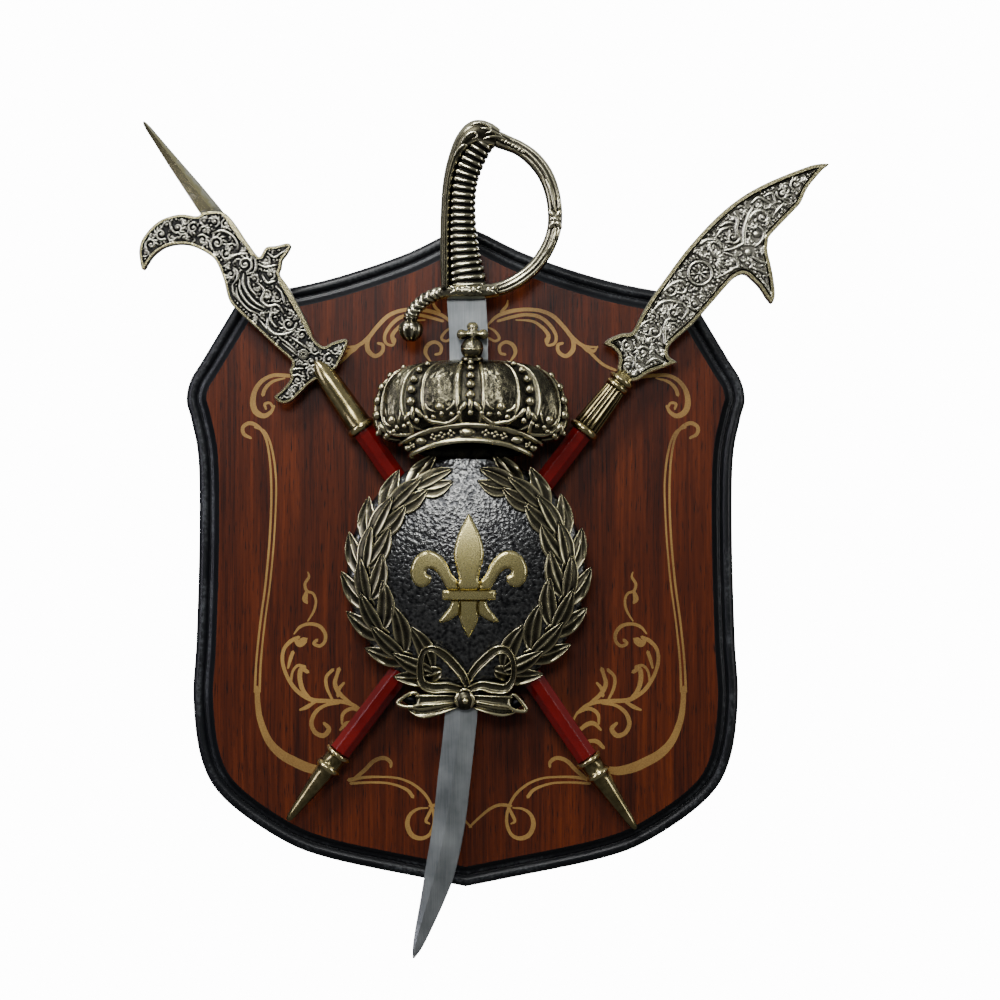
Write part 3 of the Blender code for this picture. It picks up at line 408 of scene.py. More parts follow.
outline = board_outline()
rim = moved_in(outline, EDGE[-1][0])
points = []
wear_and_painted_light = []
for inwards, behind in EDGE:
    ring = moved_in(outline, inwards)
    points += [(x, FACE_Y + behind, z) for x, z in ring]
    # Grey on the two ridges: partly rubbed wear, partly painted highlight.
    rubbed_and_highlight = math.exp(-((inwards - OUTER_RIDGE) / 1.0) ** 2)
    rubbed_and_highlight += 0.8 * math.exp(-((inwards - INNER_RIDGE) / 0.7) ** 2)
    wear_and_painted_light += [rubbed_and_highlight] * len(ring)
around = len(outline)
faces = between_rings(len(EDGE), around)
edge = make("moulded_edge", points, faces, edge_paint("black_edge_paint"), True, wear_and_painted_light)

strokes = []
for line in PRINT.values():
    half = brush(line)
    strokes.append(half + (PRINT_MIDDLE, 0))
    strokes.append((half * (-1, 1) + (PRINT_MIDDLE, 0))[::-1])
flat = [Vector(p) for p in rim]
loops = [list(range(around))]
for stroke in strokes:
    loops.append(list(range(len(flat), len(flat) + len(stroke))))
    flat += [Vector(p) for p in stroke]
spots, _, cells, _, _, owners = delaunay_2d_cdt(flat, [], loops, 1, 1e-4)
panel = make("board_panel", [(p.x, FACE_Y, p.y) for p in spots], cells,
             [lacquered_wood("mahogany_veneer"), gold_ink("gold_ink")], False)
panel.data.polygons.foreach_set("material_index", [1 if any(o > 0 for o in owner) else 0 for owner in owners])

# Back of the board: flat and sprayed black like the edge, with a keyhole slot routed for the head of a
# wall screw: a round hole to let the head in, then a narrow neck with a wider track behind it.
SLOT_Z = 88.0
SLOT_HEAD_R = 4.75
SLOT_NECK_R = 2.3
SLOT_RISE = 9.0
SLOT_LIP = 2.5
SLOT_DEPTH = 8.0


def arc(middle, radius, start, stop, count):
    turn = np.radians(np.linspace(start, stop, count))
    return np.stack([middle[0] + radius * np.cos(turn), middle[1] + radius * np.sin(turn)], 1)


def wall(ring, near, far):
    """Side wall of a hole through the same ring at two depths."""
    return [(x, y, z) for y in (near, far) for x, z in ring], between_rings(2, len(ring))


def sheet(loops, depth, hole):
    """A flat sheet between outlines; with a hole, what lies in the second outline is left out."""
    flat = []
    rings = []
    for loop in loops:
        rings.append(list(range(len(flat), len(flat) + len(loop))))
        flat += [Vector(p) for p in loop]
    spots, _, cells, _, _, owners = delaunay_2d_cdt(flat, [], rings, 1, 1e-4)
    kept = [cell for cell, owner in zip(cells, owners) if not (hole and 1 in owner)]
    return [(p.x, depth, p.y) for p in spots], kept


def gather(parts):
    """Several (points, faces, worn) as one."""
    points = []
    faces = []
    wear_and_painted_light = []
    for part in parts:
        first = len(points)
        points += [tuple(p) for p in part[0]]
        faces += [tuple(i + first for i in face) for face in part[1]]
        wear_and_painted_light += list(part[2]) if len(part) > 2 else [0.0] * len(part[0])
    return points, faces, wear_and_painted_light


neck_turn = math.degrees(math.asin(SLOT_NECK_R / SLOT_HEAD_R))
keyhole = np.vstack([arc((0, SLOT_Z), SLOT_HEAD_R, 90 + neck_turn, 450 - neck_turn, 25),
                     arc((0, SLOT_Z + SLOT_RISE), SLOT_NECK_R, 0, 180, 13)])
track = np.vstack([arc((0, SLOT_Z), SLOT_HEAD_R, 180, 360, 19),
                   arc((0, SLOT_Z + SLOT_RISE), SLOT_HEAD_R, 0, 180, 19)])
back_parts = [sheet([outline, keyhole], 0.0, True), wall(outline, 0.0, FACE_Y + EDGE[0][1]),
              wall(keyhole, 0.0, -SLOT_LIP), sheet([track, keyhole], -SLOT_LIP, True),
              wall(track, -SLOT_LIP, -SLOT_DEPTH), sheet([track], -SLOT_DEPTH, False)]
rear = make("board_back", *gather(back_parts)[:2], bpy.data.materials["black_edge_paint"], False)

for piece in (edge, panel, rear):
    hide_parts("board")
    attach(piece, "root")

# Polearms: two miniature weapons crossed behind the boss. Each shaft is an eight-sided rod in gloss red;
# its head, socket and pointed ferrule are cast alloy with a brassy finish, dark in the hollows.
CROSS = (1.1, -11.4)
SHAFT_HEIGHT = 7.6
HALBERD_LEAN = -34.4
GLAIVE_LEAN = 37.2
HALBERD_RING_AT = 84.3
GLAIVE_RING_AT = 86.1
BUTT_RING_AT = 94.4
HEAD_THICK = 4.6
# Relief of the heads: depth of the field, bevel and drop of the edge, step down from the rim, foot of each
# ridge, smallest dot, and the spacing of the points.
RELIEF_DEEP = 0.85
BEVEL_WIDE = 0.4
BEVEL_DROP = 0.35
EDGE_DROP = 0.55
STEP_WIDE = 0.3
RIDGE_FOOT = 0.20
SMALLEST_DOT = 0.60
GRID = 0.33
# Heads, from the ring: distance along the shaft, distance across it.
HALBERD_SIDE = [(112.0, 4.2), (96.4, 4.8), (90.0, 5.0), (87.9, 6.0), (89.7, 10.4), (87.7, 14.6), (85.9, 19.2),
                (84.0, 19.9), (82.1, 16.6), (80.9, 13.2), (78.5, 10.9), (76.2, 8.6), (68.8, 8.6), (50.8, 6.6),
                (43.9, 5.2), (38.9, 6.6), (38.2, 10.6), (36.5, 16.0), (34.8, 17.0), (32.6, 14.6), (29.0, 8.6),
                (27.6, 4.8), (28.6, -6.6), (27.9, -11.4), (26.8, -19.0), (28.7, -23.3), (32.7, -24.1),
                (33.4, -20.0), (35.2, -13.8), (38.6, -12.1), (41.4, -9.0), (50.3, -10.9), (62.9, -13.6),
                (72.9, -15.8), (79.6, -16.4), (88.3, -13.3), (94.6, -11.8), (99.0, -11.6), (104.4, -13.6),
                (109.5, -16.9), (113.0, -21.3), (115.1, -26.7), (115.0, -32.5), (113.5, -36.9),
                (112.3, -39.4), (113.1, -40.6), (117.3, -38.8), (120.5, -36.9), (123.6, -33.4),
                (125.7, -27.4), (126.2, -21.4), (124.7, -15.6), (122.5, -11.5), (118.5, -7.0), (118.0, -3.0)]
GLAIVE_SIDE = [(35.8, -16.3), (39.0, -15.5), (43.7, -12.7), (46.7, -9.6), (50.4, -9.7), (56.9, -10.9),
               (65.0, -11.7), (76.6, -12.0), (85.5, -12.2), (93.6, -12.0), (105.0, -11.0), (115.5, -9.3),
               (125.7, -6.4), (134.6, -2.5), (142.8, 2.0), (149.8, 6.3), (155.7, 10.4), (159.7, 15.2),
               (156.0, 14.6), (147.9, 14.1), (143.3, 14.5), (138.2, 15.7), (132.5, 15.2), (119.0, 13.7),
               (115.9, 14.6), (112.4, 16.9), (108.5, 21.6), (103.8, 26.8), (98.7, 31.4), (94.9, 32.6),
               (95.2, 29.6), (97.2, 23.8), (97.9, 19.0), (98.0, 15.7), (96.5, 13.6), (91.5, 12.0),
               (77.4, 11.0), (66.0, 10.1), (54.7, 7.9), (50.7, 8.3), (48.5, 10.4), (48.5, 14.6), (46.0, 13.4),
               (40.7, 10.0), (36.8, 7.6), (31.0, 5.4), (28.4, 0.6), (30.0, -4.4), (32.9, -6.0), (35.3, -8.4),
               (36.1, -12.3), (35.3, -15.4)]


def cast_metal(name, low, middle, high, rough=(0.52, 0.30), grain=0.12, reach=0.0016, rubbed_and_highlight=None):
    """Plated casting: dark patina in the hollows, rubbed bright on what stands out; on some pieces the same
    attribute also carries painted shade and painted highlight.
    """
    made, tree, place = new_finish(name)
    wear_and_painted_light = add(tree, "ShaderNodeAttribute", attribute_name="wear_and_painted_light").outputs["Fac"]
    cloud = noise(tree, place, 210.0, 4.0, 0.65)
    speck = noise(tree, place, 1900.0, 3.0, 0.7)
    open_air = add(tree, "ShaderNodeAmbientOcclusion", {"Distance": reach}, samples=6, only_local=True)
    patchy = scaled(tree, scaled(tree, cloud, 1.0, -0.5), 0.55, wear_and_painted_light)
    tone = scaled(tree, patchy, rise(tree, open_air.outputs["AO"], 0.35, 0.9))
    colour = tones(tree, tone, (0.12, low), (0.45, middle), (0.85, high), (1.0, rubbed_and_highlight or high))
    shine = scaled(tree, scaled(tree, speck, 0.16, spread(tree, tone, *rough)), 1.0, -0.08)
    surface(tree, {"Base Color": colour, "Metallic": 1.0, "Roughness": shine,
                   "Normal": dents(tree, speck, grain, 0.00025).outputs[0]})
    return made


def on_pole(points, lean, along=0.0):
    """From across, along and towards the viewer, measured on a shaft, to the plaque."""
    p = np.asarray(points, float)
    turn = math.radians(lean)
    up = p[:, 1] + along
    x = CROSS[0] + p[:, 0] * math.cos(turn) + up * math.sin(turn)
    z = CROSS[1] - p[:, 0] * math.sin(turn) + up * math.cos(turn)
    return np.stack([x, FACE_Y - SHAFT_HEIGHT - p[:, 2], z], 1)


def to_line(spots, line):
    """For each spot, the distance to a line and the half width of the line there."""
    a = line[:-1, :2]
    run = line[1:, :2] - a
    share = ((spots[:, None] - a) * run).sum(2) / ((run ** 2).sum(1) + 1e-9)
    share = np.clip(share, 0, 1)
    gap = np.linalg.norm(spots[:, None] - a - share[..., None] * run, axis=2)
    near = gap.argmin(1)
    rows = np.arange(len(spots))
    half = line[near, 2] + (line[near + 1, 2] - line[near, 2]) * share[rows, near]
    return gap[rows, near], half


def to_edge(spots, outline):
    """Distance inwards from an outline, negative outside it."""
    loop = np.vstack([outline, outline[:1]])
    gap, _ = to_line(spots, np.hstack([loop, np.zeros((len(loop), 1))]))
    x, y = spots[:, 0:1], spots[:, 1:2]
    a, b = loop[:-1], loop[1:]
    crosses = (a[:, 1] > y) != (b[:, 1] > y)
    with np.errstate(divide="ignore", invalid="ignore"):
        at = a[:, 0] + (y - a[:, 1]) * (b[:, 0] - a[:, 0]) / (b[:, 1] - a[:, 1])
    inside = (crosses & (x < at)).sum(1) % 2 == 1
    return np.where(inside, gap, -gap)


def scroll_line(at, radius, start, hand, turns, half):
    t = np.linspace(0, 1, 22)
    angle = start + hand * 2 * math.pi * turns * t
    size = radius * (1 - 0.82 * t ** 0.85)
    return np.stack([at[0] + size * np.cos(angle), at[1] + size * np.sin(angle), half * (1 - 0.35 * t)], 1)


def dot(at, half):
    return np.array([(at[0], at[1], half), (at[0] + 0.1, at[1], half)])


def scroll(at, radius, start, hand):
    """A rolled leaf: its spiral, its eye, and the lobes that stand out from it."""
    at = np.array(at, float)
    rows = [scroll_line(at, radius * 0.92, start, hand, 0.9 + 0.12 * radius, 0.30 + 0.085 * radius),
            dot(at, 0.2 + 0.16 * radius)]
    for fan in (0.3, 0.9, 1.5, 2.1):
        turn = start + hand * (1.6 + fan)
        inner = at + 0.80 * radius * np.array([math.cos(turn), math.sin(turn)])
        outer = at + 1.28 * radius * np.array([math.cos(turn + 0.35 * hand), math.sin(turn + 0.35 * hand)])
        rows.append(np.array([(*inner, 0.5), (*(0.4 * inner + 0.6 * outer), 0.45), (*outer, 0.18)]))
    return rows


# A curled bud: how far it turns round, and its half width there.
COMMA = ((0.0, 0.44), (0.9, 0.40), (1.8, 0.32), (2.8, 0.20), (3.6, 0.12))


def foliage(spots, room, biggest, smallest, strands):
    """Small scrolls, curled buds and dots, packed into what the larger forms leave free."""
    free = room.copy()
    tilt = 1e-3 * np.sin(spots[:, 0] * 12.9 + spots[:, 1] * 78.2)
    lines = list(strands)
    for line in strands:
        gap, half = to_line(spots, line)
        free = np.minimum(free, gap - half - 0.25)
    for count in range(500):
        k = int((np.minimum(free, biggest) + tilt).argmax())
        radius = min(free[k], biggest)
        if radius < smallest:
            break
        at = spots[k]
        start = 2.4 * count
        hand = 1 if count % 2 else -1
        if radius > 1.35:
            lines += scroll(at, radius, start, hand)
        elif radius > 0.8:
            lines.append(np.array([(at[0] + 0.7 * radius * math.cos(start + hand * turn),
                                    at[1] + 0.7 * radius * math.sin(start + hand * turn), half)
                                   for turn, half in COMMA]))
        else:
            lines.append(dot(at, radius * 0.7))
        free = np.minimum(free, np.linalg.norm(spots - at, axis=1) - radius)
    return lines


def petals(at, inner, outer, count, half, start=0.0, spread=360.0):
    """Short strokes fanned round a centre, widest in their middle."""
    rows = []
    for k in range(count):
        turn = math.radians(start + spread * k / count)
        way = np.array([math.cos(turn), math.sin(turn)])
        belly = at + (inner * 0.4 + outer * 0.6) * way
        rows.append(np.array([(*(at + inner * way), half * 0.45), (*belly, half),
                              (*(at + outer * way), half * 0.3)]))
    return rows


def hoop(at, radius, half):
    turn = np.linspace(0, 2 * math.pi, 40)
    return np.stack([at[0] + radius * np.cos(turn), at[1] + radius * np.sin(turn), np.full(40, half)], 1)


def anticlockwise(shape):
    turned = (shape[:, 0] * np.roll(shape[:, 1], -1) - np.roll(shape[:, 0], -1) * shape[:, 1]).sum()
    return shape[::-1] if turned < 0 else shape


def plate_skin(shape, spots, levels, wear_and_painted_light, rim, base, rim_worn):
    """Front of a plate from its outline and the points within it, and its side wall down to the base;
    rim_worn says how worn the edge of the front and the top and foot of the wall are."""
    n = len(shape)
    flat = [Vector(p) for p in shape] + [Vector(p) for p in spots]
    found, _, cells, origin, _, _ = delaunay_2d_cdt(flat, [], [list(range(n))], 1, 1e-5)
    source = [o[0] for o in origin]
    levels = np.concatenate([np.full(n, rim), levels])
    wear_and_painted_light = np.concatenate([np.full(n, rim_worn[0]), wear_and_painted_light])
    band = [(x, y, level) for level in (rim, base) for x, y in shape]
    faces = [(i, n + i, n + (i + 1) % n, (i + 1) % n) for i in range(n)]
    return (([(p.x, p.y, levels[k]) for p, k in zip(found, source)], cells, [wear_and_painted_light[k] for k in source]),
            (band, faces, [rim_worn[1]] * n + [rim_worn[2]] * n))


def relief_plate(side, rim_wide, strips, line_in, biggest, strands, patina):
    """A cast head: raised plain rim, with a thin line inside it where line_in is above 0, round a sunk
    field filled with scrolls; flat at the back. Patina is how much darker the field is than the rim.
    Gives points (across, along, towards the viewer), faces and how worn each point is."""
    shape = anticlockwise(through([(across, along) for along, across in side], 7, closed=True))
    low, high = shape.min(0), shape.max(0)
    across, along = np.meshgrid(np.arange(low[0], high[0], GRID), np.arange(low[1], high[1], GRID))
    along = along + np.where(np.arange(across.shape[1]) % 2, GRID / 2, 0)
    spots = np.stack([across.ravel(), along.ravel()], 1)
    depth = to_edge(spots, shape)
    steps = (BEVEL_WIDE, rim_wide, rim_wide + STEP_WIDE)
    clear = (depth > BEVEL_WIDE) & (np.min([np.abs(depth - step) for step in steps], axis=0) > GRID * 0.4)
    spots, depth = [spots[clear]], [depth[clear]]
    for step in steps:
        ring = moved_in(shape, step)
        onwards = np.roll(ring, -1, 0) - ring
        ring = np.concatenate([ring + onwards * share for share in np.arange(0, 1, 0.2)])
        ring = ring[np.abs(to_edge(ring, shape) - step) < 0.04]
        spots.append(ring)
        depth.append(np.full(len(ring), step))
    spots, depth = np.vstack(spots), np.concatenate(depth)
    rim = np.full(len(spots), rim_wide)
    for strip in strips:
        gap, half = to_line(spots, through(strip, 4))
        rim = np.maximum(rim, np.where(gap < half, depth + 1.0, 0))
    lines = foliage(spots, depth - rim_wide - 0.2 - 1.5 * line_in, biggest, SMALLEST_DOT, strands)
    ridge = np.exp(-((depth - rim_wide - STEP_WIDE - line_in) / 0.22) ** 2) * (line_in > 0)
    for line in lines:
        middle = line[:, :2].mean(0)
        reach = np.linalg.norm(line[:, :2] - middle, axis=1).max() + 1.6
        close = np.flatnonzero(np.linalg.norm(spots - middle, axis=1) < reach)
        if len(close):
            gap, half = to_line(spots[close], line)
            lift = 1 - (gap / (half + RIDGE_FOOT)) ** 2
            ridge[close] = np.maximum(ridge[close], np.sqrt(np.clip(lift, 0, 1)) * np.minimum(1, 0.45 + half))
    field = np.clip((depth - rim) / STEP_WIDE, 0, 1)
    bevel = np.clip(1 - depth / BEVEL_WIDE, 0, 1)
    sunk = RELIEF_DEEP * field * (1 - ridge)
    height = HEAD_THICK / 2 - sunk - BEVEL_DROP * bevel ** 2
    wear_and_painted_light = 1.12 - patina * field * (1 - ridge ** 2.6) - (0.15 + 0.3 * patina) * field - 0.3 * bevel
    front, band = plate_skin(shape, spots, height, wear_and_painted_light, HEAD_THICK / 2 - EDGE_DROP, -HEAD_THICK / 2,
                             (0.55, 0.55, 0.3))
    rear_shape = sheet([shape], 0.0, False)
    rear_points = [(x, along, -HEAD_THICK / 2) for x, _, along in rear_shape[0]]
    rear_faces = [tuple(reversed(f)) for f in rear_shape[1]]
    return gather([front, (rear_points, rear_faces, [0.4] * len(rear_points)), band])


def loft(rings, wear_and_painted_light=None):
    """Closed skin through rings of equal count, its ends filled by fans."""
    rows, count = len(rings), len(rings[0])
    points = [tuple(p) for ring in rings for p in ring]
    faces = between_rings(rows, count)
    wear_and_painted_light = [0.7] * rows if wear_and_painted_light is None else wear_and_painted_light
    marks = [mark for row in wear_and_painted_light for mark in (row if np.ndim(row) else [row] * count)]
    for row, turn in ((0, 1), (rows - 1, -1)):
        points.append(tuple(np.mean(rings[row], 0)))
        marks.append(marks[row * count])
        for k in range(count):
            j = (k + 1) % count
            ends = (row * count + j, row * count + k) if turn > 0 else (row * count + k, row * count + j)
            faces.append((*ends, len(points) - 1))
    return points, faces, marks


def lathe(profile, sides, flutes=0, deep=0.0, shift=(0.0, 0.0), wear_and_painted_light=None):
    """A turned piece along a shaft from (along, radius) pairs; flutes cut hollows round it."""
    turn = np.linspace(0, 2 * math.pi, sides, endpoint=False)
    rings = []
    marks = []
    for i, (along, radius) in enumerate(profile):
        cut = deep * (0.5 - 0.5 * np.cos(flutes * turn)) if flutes and radius > deep * 2 else 0 * turn
        size = radius - cut
        rings.append(np.stack([shift[0] + size * np.cos(turn), np.full(sides, along),
                               shift[1] + size * np.sin(turn)], 1))
        level = 0.8 if wear_and_painted_light is None else wear_and_painted_light[i]
        marks.append(level - 0.7 * cut / deep if flutes and deep else np.full(sides, level))
    return loft(rings, marks)


def cast_on(name, part, lean, along, finish):
    """A casting measured along a shaft, set in its place on the plaque."""
    return make(name, on_pole(part[0], lean, along), part[1], finish, True, part[2])


head_brass = cast_metal("head_brass", (0.022, 0.022, 0.021), (0.26, 0.25, 0.205), (0.82, 0.80, 0.63),
                        (0.38, 0.20), reach=0.0013, rubbed_and_highlight=(0.66, 0.60, 0.33))
socket_brass = cast_metal("socket_brass", (0.02, 0.017, 0.010), (0.135, 0.110, 0.048), (0.62, 0.52, 0.25),
                          (0.30, 0.16), 0.03)

# Halberd head: one casting with a beak, a back lug and two lower lugs round a plate of scrolls, under a
# four-sided spike. Its round socket is pushed over the end of the shaft.
# The spike: distance along the shaft, its two sides, and how far its ridges stand out.
SPIKE = [(113.0, -5.0, 3.6, 0.4), (117.0, -5.2, 3.4, 2.4), (119.0, -5.4, 3.2, 2.8), (129.5, -5.2, 2.2, 2.5),
         (143.8, -4.9, 0.5, 2.0), (156.4, -4.4, -0.9, 1.5), (163.0, -4.2, -1.6, 1.2),
         (166.1, -3.8, -2.2, 0.8), (167.1, -3.3, -2.7, 0.2)]
BACK_STRIP = [(3.9, 113.0, 1.6), (4.2, 100.0, 1.6), (4.2, 91.0, 1.4)]
LOW_STRIP = [(7.8, 74.0, 1.5), (6.6, 60.0, 1.4), (5.0, 46.0, 1.3)]
# Strokes of the leaves: across, along, half width; then scrolls: centre, radius, where each starts, its hand.
HALBERD_STRANDS = [
    [(-4.4, 85.6, 0.3), (-7.0, 82.4, 0.7), (-7.9, 77.7, 0.8), (-7.5, 72.7, 0.8), (-5.4, 67.8, 0.4)],
    [(-7.4, 84.2, 0.3), (-9.6, 81.1, 0.6), (-10.4, 76.3, 0.7), (-9.6, 71.9, 0.7), (-7.0, 67.2, 0.3)],
    [(-10.6, 82.2, 0.3), (-12.1, 79.4, 0.5), (-12.4, 75.3, 0.6), (-11.5, 71.0, 0.6), (-9.1, 66.9, 0.3)],
    [(-11.6, 84.0, 0.4), (-12.9, 81.1, 0.6), (-13.1, 77.0, 0.3)],
    [(-3.7, 83.2, 0.4), (-5.6, 78.8, 0.7), (-5.2, 74.6, 0.5)],
    [(-7.0, 63.2, 0.4), (-8.9, 59.9, 0.8), (-8.2, 55.9, 0.9), (-4.7, 53.1, 0.7), (0.2, 51.9, 0.4)],
    [(-1.4, 78.2, 0.4), (-1.0, 74.1, 0.8), (-4.5, 71.4, 0.8), (-3.6, 67.6, 0.8), (0.1, 65.6, 0.6),
     (0.4, 61.2, 0.4)],
    [(-4.1, 64.7, 0.4), (-6.2, 61.9, 0.8), (-5.9, 57.9, 0.6)],
    [(2.1, 80.4, 0.4), (2.0, 76.4, 0.7), (5.1, 75.1, 0.5)],
    [(4.2, 72.8, 0.4), (4.7, 69.0, 0.6), (3.1, 64.3, 0.5)],
    [(6.9, 70.6, 0.3), (6.2, 65.7, 0.5), (5.7, 59.9, 0.3)],
    [(-7.4, 53.6, 0.3), (-5.6, 48.4, 0.6), (-4.6, 43.7, 0.4)],
    [(-3.1, 50.9, 0.3), (-1.3, 46.2, 0.6), (0.6, 41.8, 0.3)],
    [(-7.6, 50.1, 0.3), (-6.3, 45.7, 0.5), (-5.2, 41.7, 0.3)],
    [(-10.2, 65.3, 0.3), (-9.9, 61.3, 0.6), (-9.4, 56.4, 0.3)],
    [(-6.7, 90.7, 0.3), (-6.2, 88.0, 0.6), (-8.0, 85.4, 0.6), (-11.0, 84.4, 0.3)],
    [(-6.1, 108.4, 0.3), (-1.7, 106.9, 0.7), (0.9, 102.8, 0.7), (1.0, 98.5, 0.6), (-0.8, 95.9, 0.3)],
    [(-8.8, 94.4, 0.3), (-4.7, 94.7, 0.6), (-1.4, 94.0, 0.6), (2.0, 92.1, 0.4)],
    [(3.3, 90.7, 0.4), (3.1, 87.0, 0.6), (0.1, 83.7, 0.6), (-3.3, 84.5, 0.4)],
    [(9.7, 87.1, 0.4), (11.0, 83.9, 0.6), (14.7, 83.7, 0.5), (17.2, 83.9, 0.3)],
    [(3.5, 85.3, 0.4), (5.4, 82.4, 0.7), (9.6, 80.7, 0.5)],
    [(-16.8, 32.1, 0.3), (-14.3, 35.8, 0.6), (-10.5, 37.9, 0.6), (-6.5, 35.9, 0.4)],
    [(-12.4, 28.4, 0.3), (-8.3, 28.7, 0.6), (-6.2, 29.5, 0.3)]]
HALBERD_SCROLLS = [(-6.4, 103.5, 3.8, 200, -1), (-5.9, 96.9, 2.7, 100, 1), (-1.5, 88.8, 4.0, 250, 1),
                   (-0.5, 55.8, 3.7, 330, -1), (-11.3, 32.8, 3.2, 120, -1), (2.4, 59.0, 1.9, 200, 1),
                   (-11.5, 115.1, 2.8, 30, 1), (-7.9, 111.4, 2.3, 150, -1), (-1.9, 112.0, 2.5, 250, 1),
                   (-2.8, 41.2, 2.2, 0, 1), (-0.9, 72.1, 1.9, 60, -1), (-2.3, 64.5, 1.8, 90, 1)]


def drawn(strands, scrolls, dots=()):
    rows = [through(strand, 5) for strand in strands]
    for across, along, radius, start, hand in scrolls:
        rows += scroll((across, along), radius, math.radians(start), hand)
    return rows + [dot((across, along), half) for across, along, half in dots]


halberd_plate = relief_plate(HALBERD_SIDE, 1.2, [BACK_STRIP, LOW_STRIP], 0.0, 3.0,
                             drawn(HALBERD_STRANDS, HALBERD_SCROLLS), 0.66)
spike_rings = [[(left, along, 0.0), (left * 0.4 + right * 0.6, along, -deep), (right, along, 0.0),
                (left * 0.4 + right * 0.6, along, deep)] for along, left, right, deep in SPIKE]
# Corners of the spike: left edge, back, right edge, front ridge. The front ridge is rubbed bright; the left
# edge set brighter than the right is painted highlight on the lit side.
spike = loft(spike_rings, [(1.02, 0.7, 0.78, 1.06)] * len(SPIKE))
ROSETTE = [(2.2, 0.1), (2.4, 0.2), (3.1, 1.0), (3.1, 1.3), (2.7, 1.7), (2.7, 2.0), (3.3, 2.4), (3.2, 2.8),
           (2.0, 3.1)]
ROSETTE_AT = (-2.7, 41.0)
rosette = lathe(ROSETTE, 28)
rosette_points = [(ROSETTE_AT[0] + 0.8 * x, ROSETTE_AT[1] + 0.8 * z, along) for x, along, z in rosette[0]]
halberd_head = cast_on("halberd_head_cast", gather([halberd_plate, (rosette_points, *rosette[1:]), spike]),
                       HALBERD_LEAN, HALBERD_RING_AT, head_brass)

SOCKET = [(-1.8, 5.5), (-1.7, 6.1), (-1.2, 6.5), (0.0, 6.6), (0.9, 6.4), (1.4, 5.9), (1.7, 5.75),
          (12.0, 5.45), (22.0, 5.2), (27.0, 4.9), (31.0, 4.1), (34.0, 2.9), (36.5, 1.4), (38.0, 0.3)]
SOCKET_WORN = [0.4, 0.6, 0.8, 0.9, 0.7, 0.3, 0.5, 0.68, 0.68, 0.66, 0.62, 0.6, 0.5, 0.4]
halberd_socket = cast_on("halberd_socket", lathe(SOCKET, 40, wear_and_painted_light=SOCKET_WORN), HALBERD_LEAN,
                         HALBERD_RING_AT, socket_brass)

# Glaive head: one casting, a long curved blade with a spur at its back and scrolls within a plain rim and
# a fine line. It runs down through two collars into a fluted socket, pushed over the end of the shaft.
GLAIVE_STRANDS = [
    [(6.6, 108.4, 0.9), (2.9, 113.7, 1.0), (0.7, 119.4, 0.9), (-0.4, 124.6, 0.3)],
    [(5.4, 108.8, 0.6), (0.4, 111.0, 0.9), (-2.4, 115.7, 0.8), (-5.2, 116.9, 0.4)],
    [(1.5, 100.9, 0.3), (4.4, 104.4, 0.8), (6.4, 108.7, 0.7)],
    [(2.3, 116.3, 0.4), (1.7, 121.0, 0.8), (3.5, 124.9, 0.9), (7.9, 124.6, 0.8), (9.6, 121.4, 0.5)],
    [(-5.2, 103.1, 0.4), (-4.9, 107.7, 0.8), (-2.4, 111.3, 0.3)],
    [(-6.6, 108.2, 0.3), (-4.7, 111.9, 0.7), (-1.2, 113.2, 0.3)],
    [(-9.1, 95.6, 0.4), (-7.4, 100.1, 0.9), (-3.5, 102.5, 0.8), (-0.5, 100.9, 0.4)],
    [(1.7, 99.9, 0.4), (6.7, 101.4, 0.7), (10.5, 98.9, 0.7), (8.3, 96.0, 0.4)],
    [(-1.7, 124.9, 0.4), (-0.5, 129.0, 0.8), (4.6, 129.7, 0.5)],
    [(0.9, 130.7, 0.3), (3.0, 134.0, 0.7), (6.8, 131.3, 0.5)],
    [(-8.8, 68.7, 0.4), (-8.5, 73.4, 0.8), (-5.8, 78.4, 0.8), (-2.1, 78.2, 0.4)],
    [(-4.8, 73.6, 0.3), (-1.7, 74.6, 0.6), (-1.7, 77.6, 0.3)],
    [(-7.6, 60.1, 0.4), (-6.9, 65.1, 0.9), (-4.2, 68.5, 0.8), (0.4, 70.7, 0.6)],
    [(5.4, 52.0, 0.6), (2.0, 56.0, 0.8), (-0.2, 60.7, 0.7), (2.9, 63.5, 0.4)],
    [(1.0, 71.1, 0.4), (4.5, 69.5, 0.7), (5.0, 65.2, 0.5)],
    [(7.3, 118.8, 0.4), (10.9, 117.7, 0.7), (11.9, 113.8, 0.6), (11.3, 110.7, 0.4)],
    [(9.3, 126.3, 0.3), (9.5, 130.0, 0.7), (9.8, 133.6, 0.4)],
    [(7.4, 91.4, 0.3), (8.9, 95.1, 0.6), (10.5, 97.6, 0.3)],
    [(13.4, 106.2, 0.5), (17.3, 106.7, 0.7), (20.5, 108.2, 0.3)],
    [(16.3, 102.4, 0.4), (19.8, 103.4, 0.6), (24.0, 104.0, 0.3)],
    [(21.9, 100.7, 0.3), (26.1, 99.6, 0.6), (30.9, 97.2, 0.3)],
    [(-3.8, 45.1, 0.3), (-7.4, 47.6, 0.6), (-7.5, 53.4, 0.6), (-5.5, 57.6, 0.3)],
    [(4.2, 39.2, 0.3), (5.8, 43.8, 0.7), (10.8, 45.1, 0.5)],
    [(-4.2, 38.8, 0.4), (-0.9, 37.9, 0.7), (0.6, 34.8, 0.4)]]
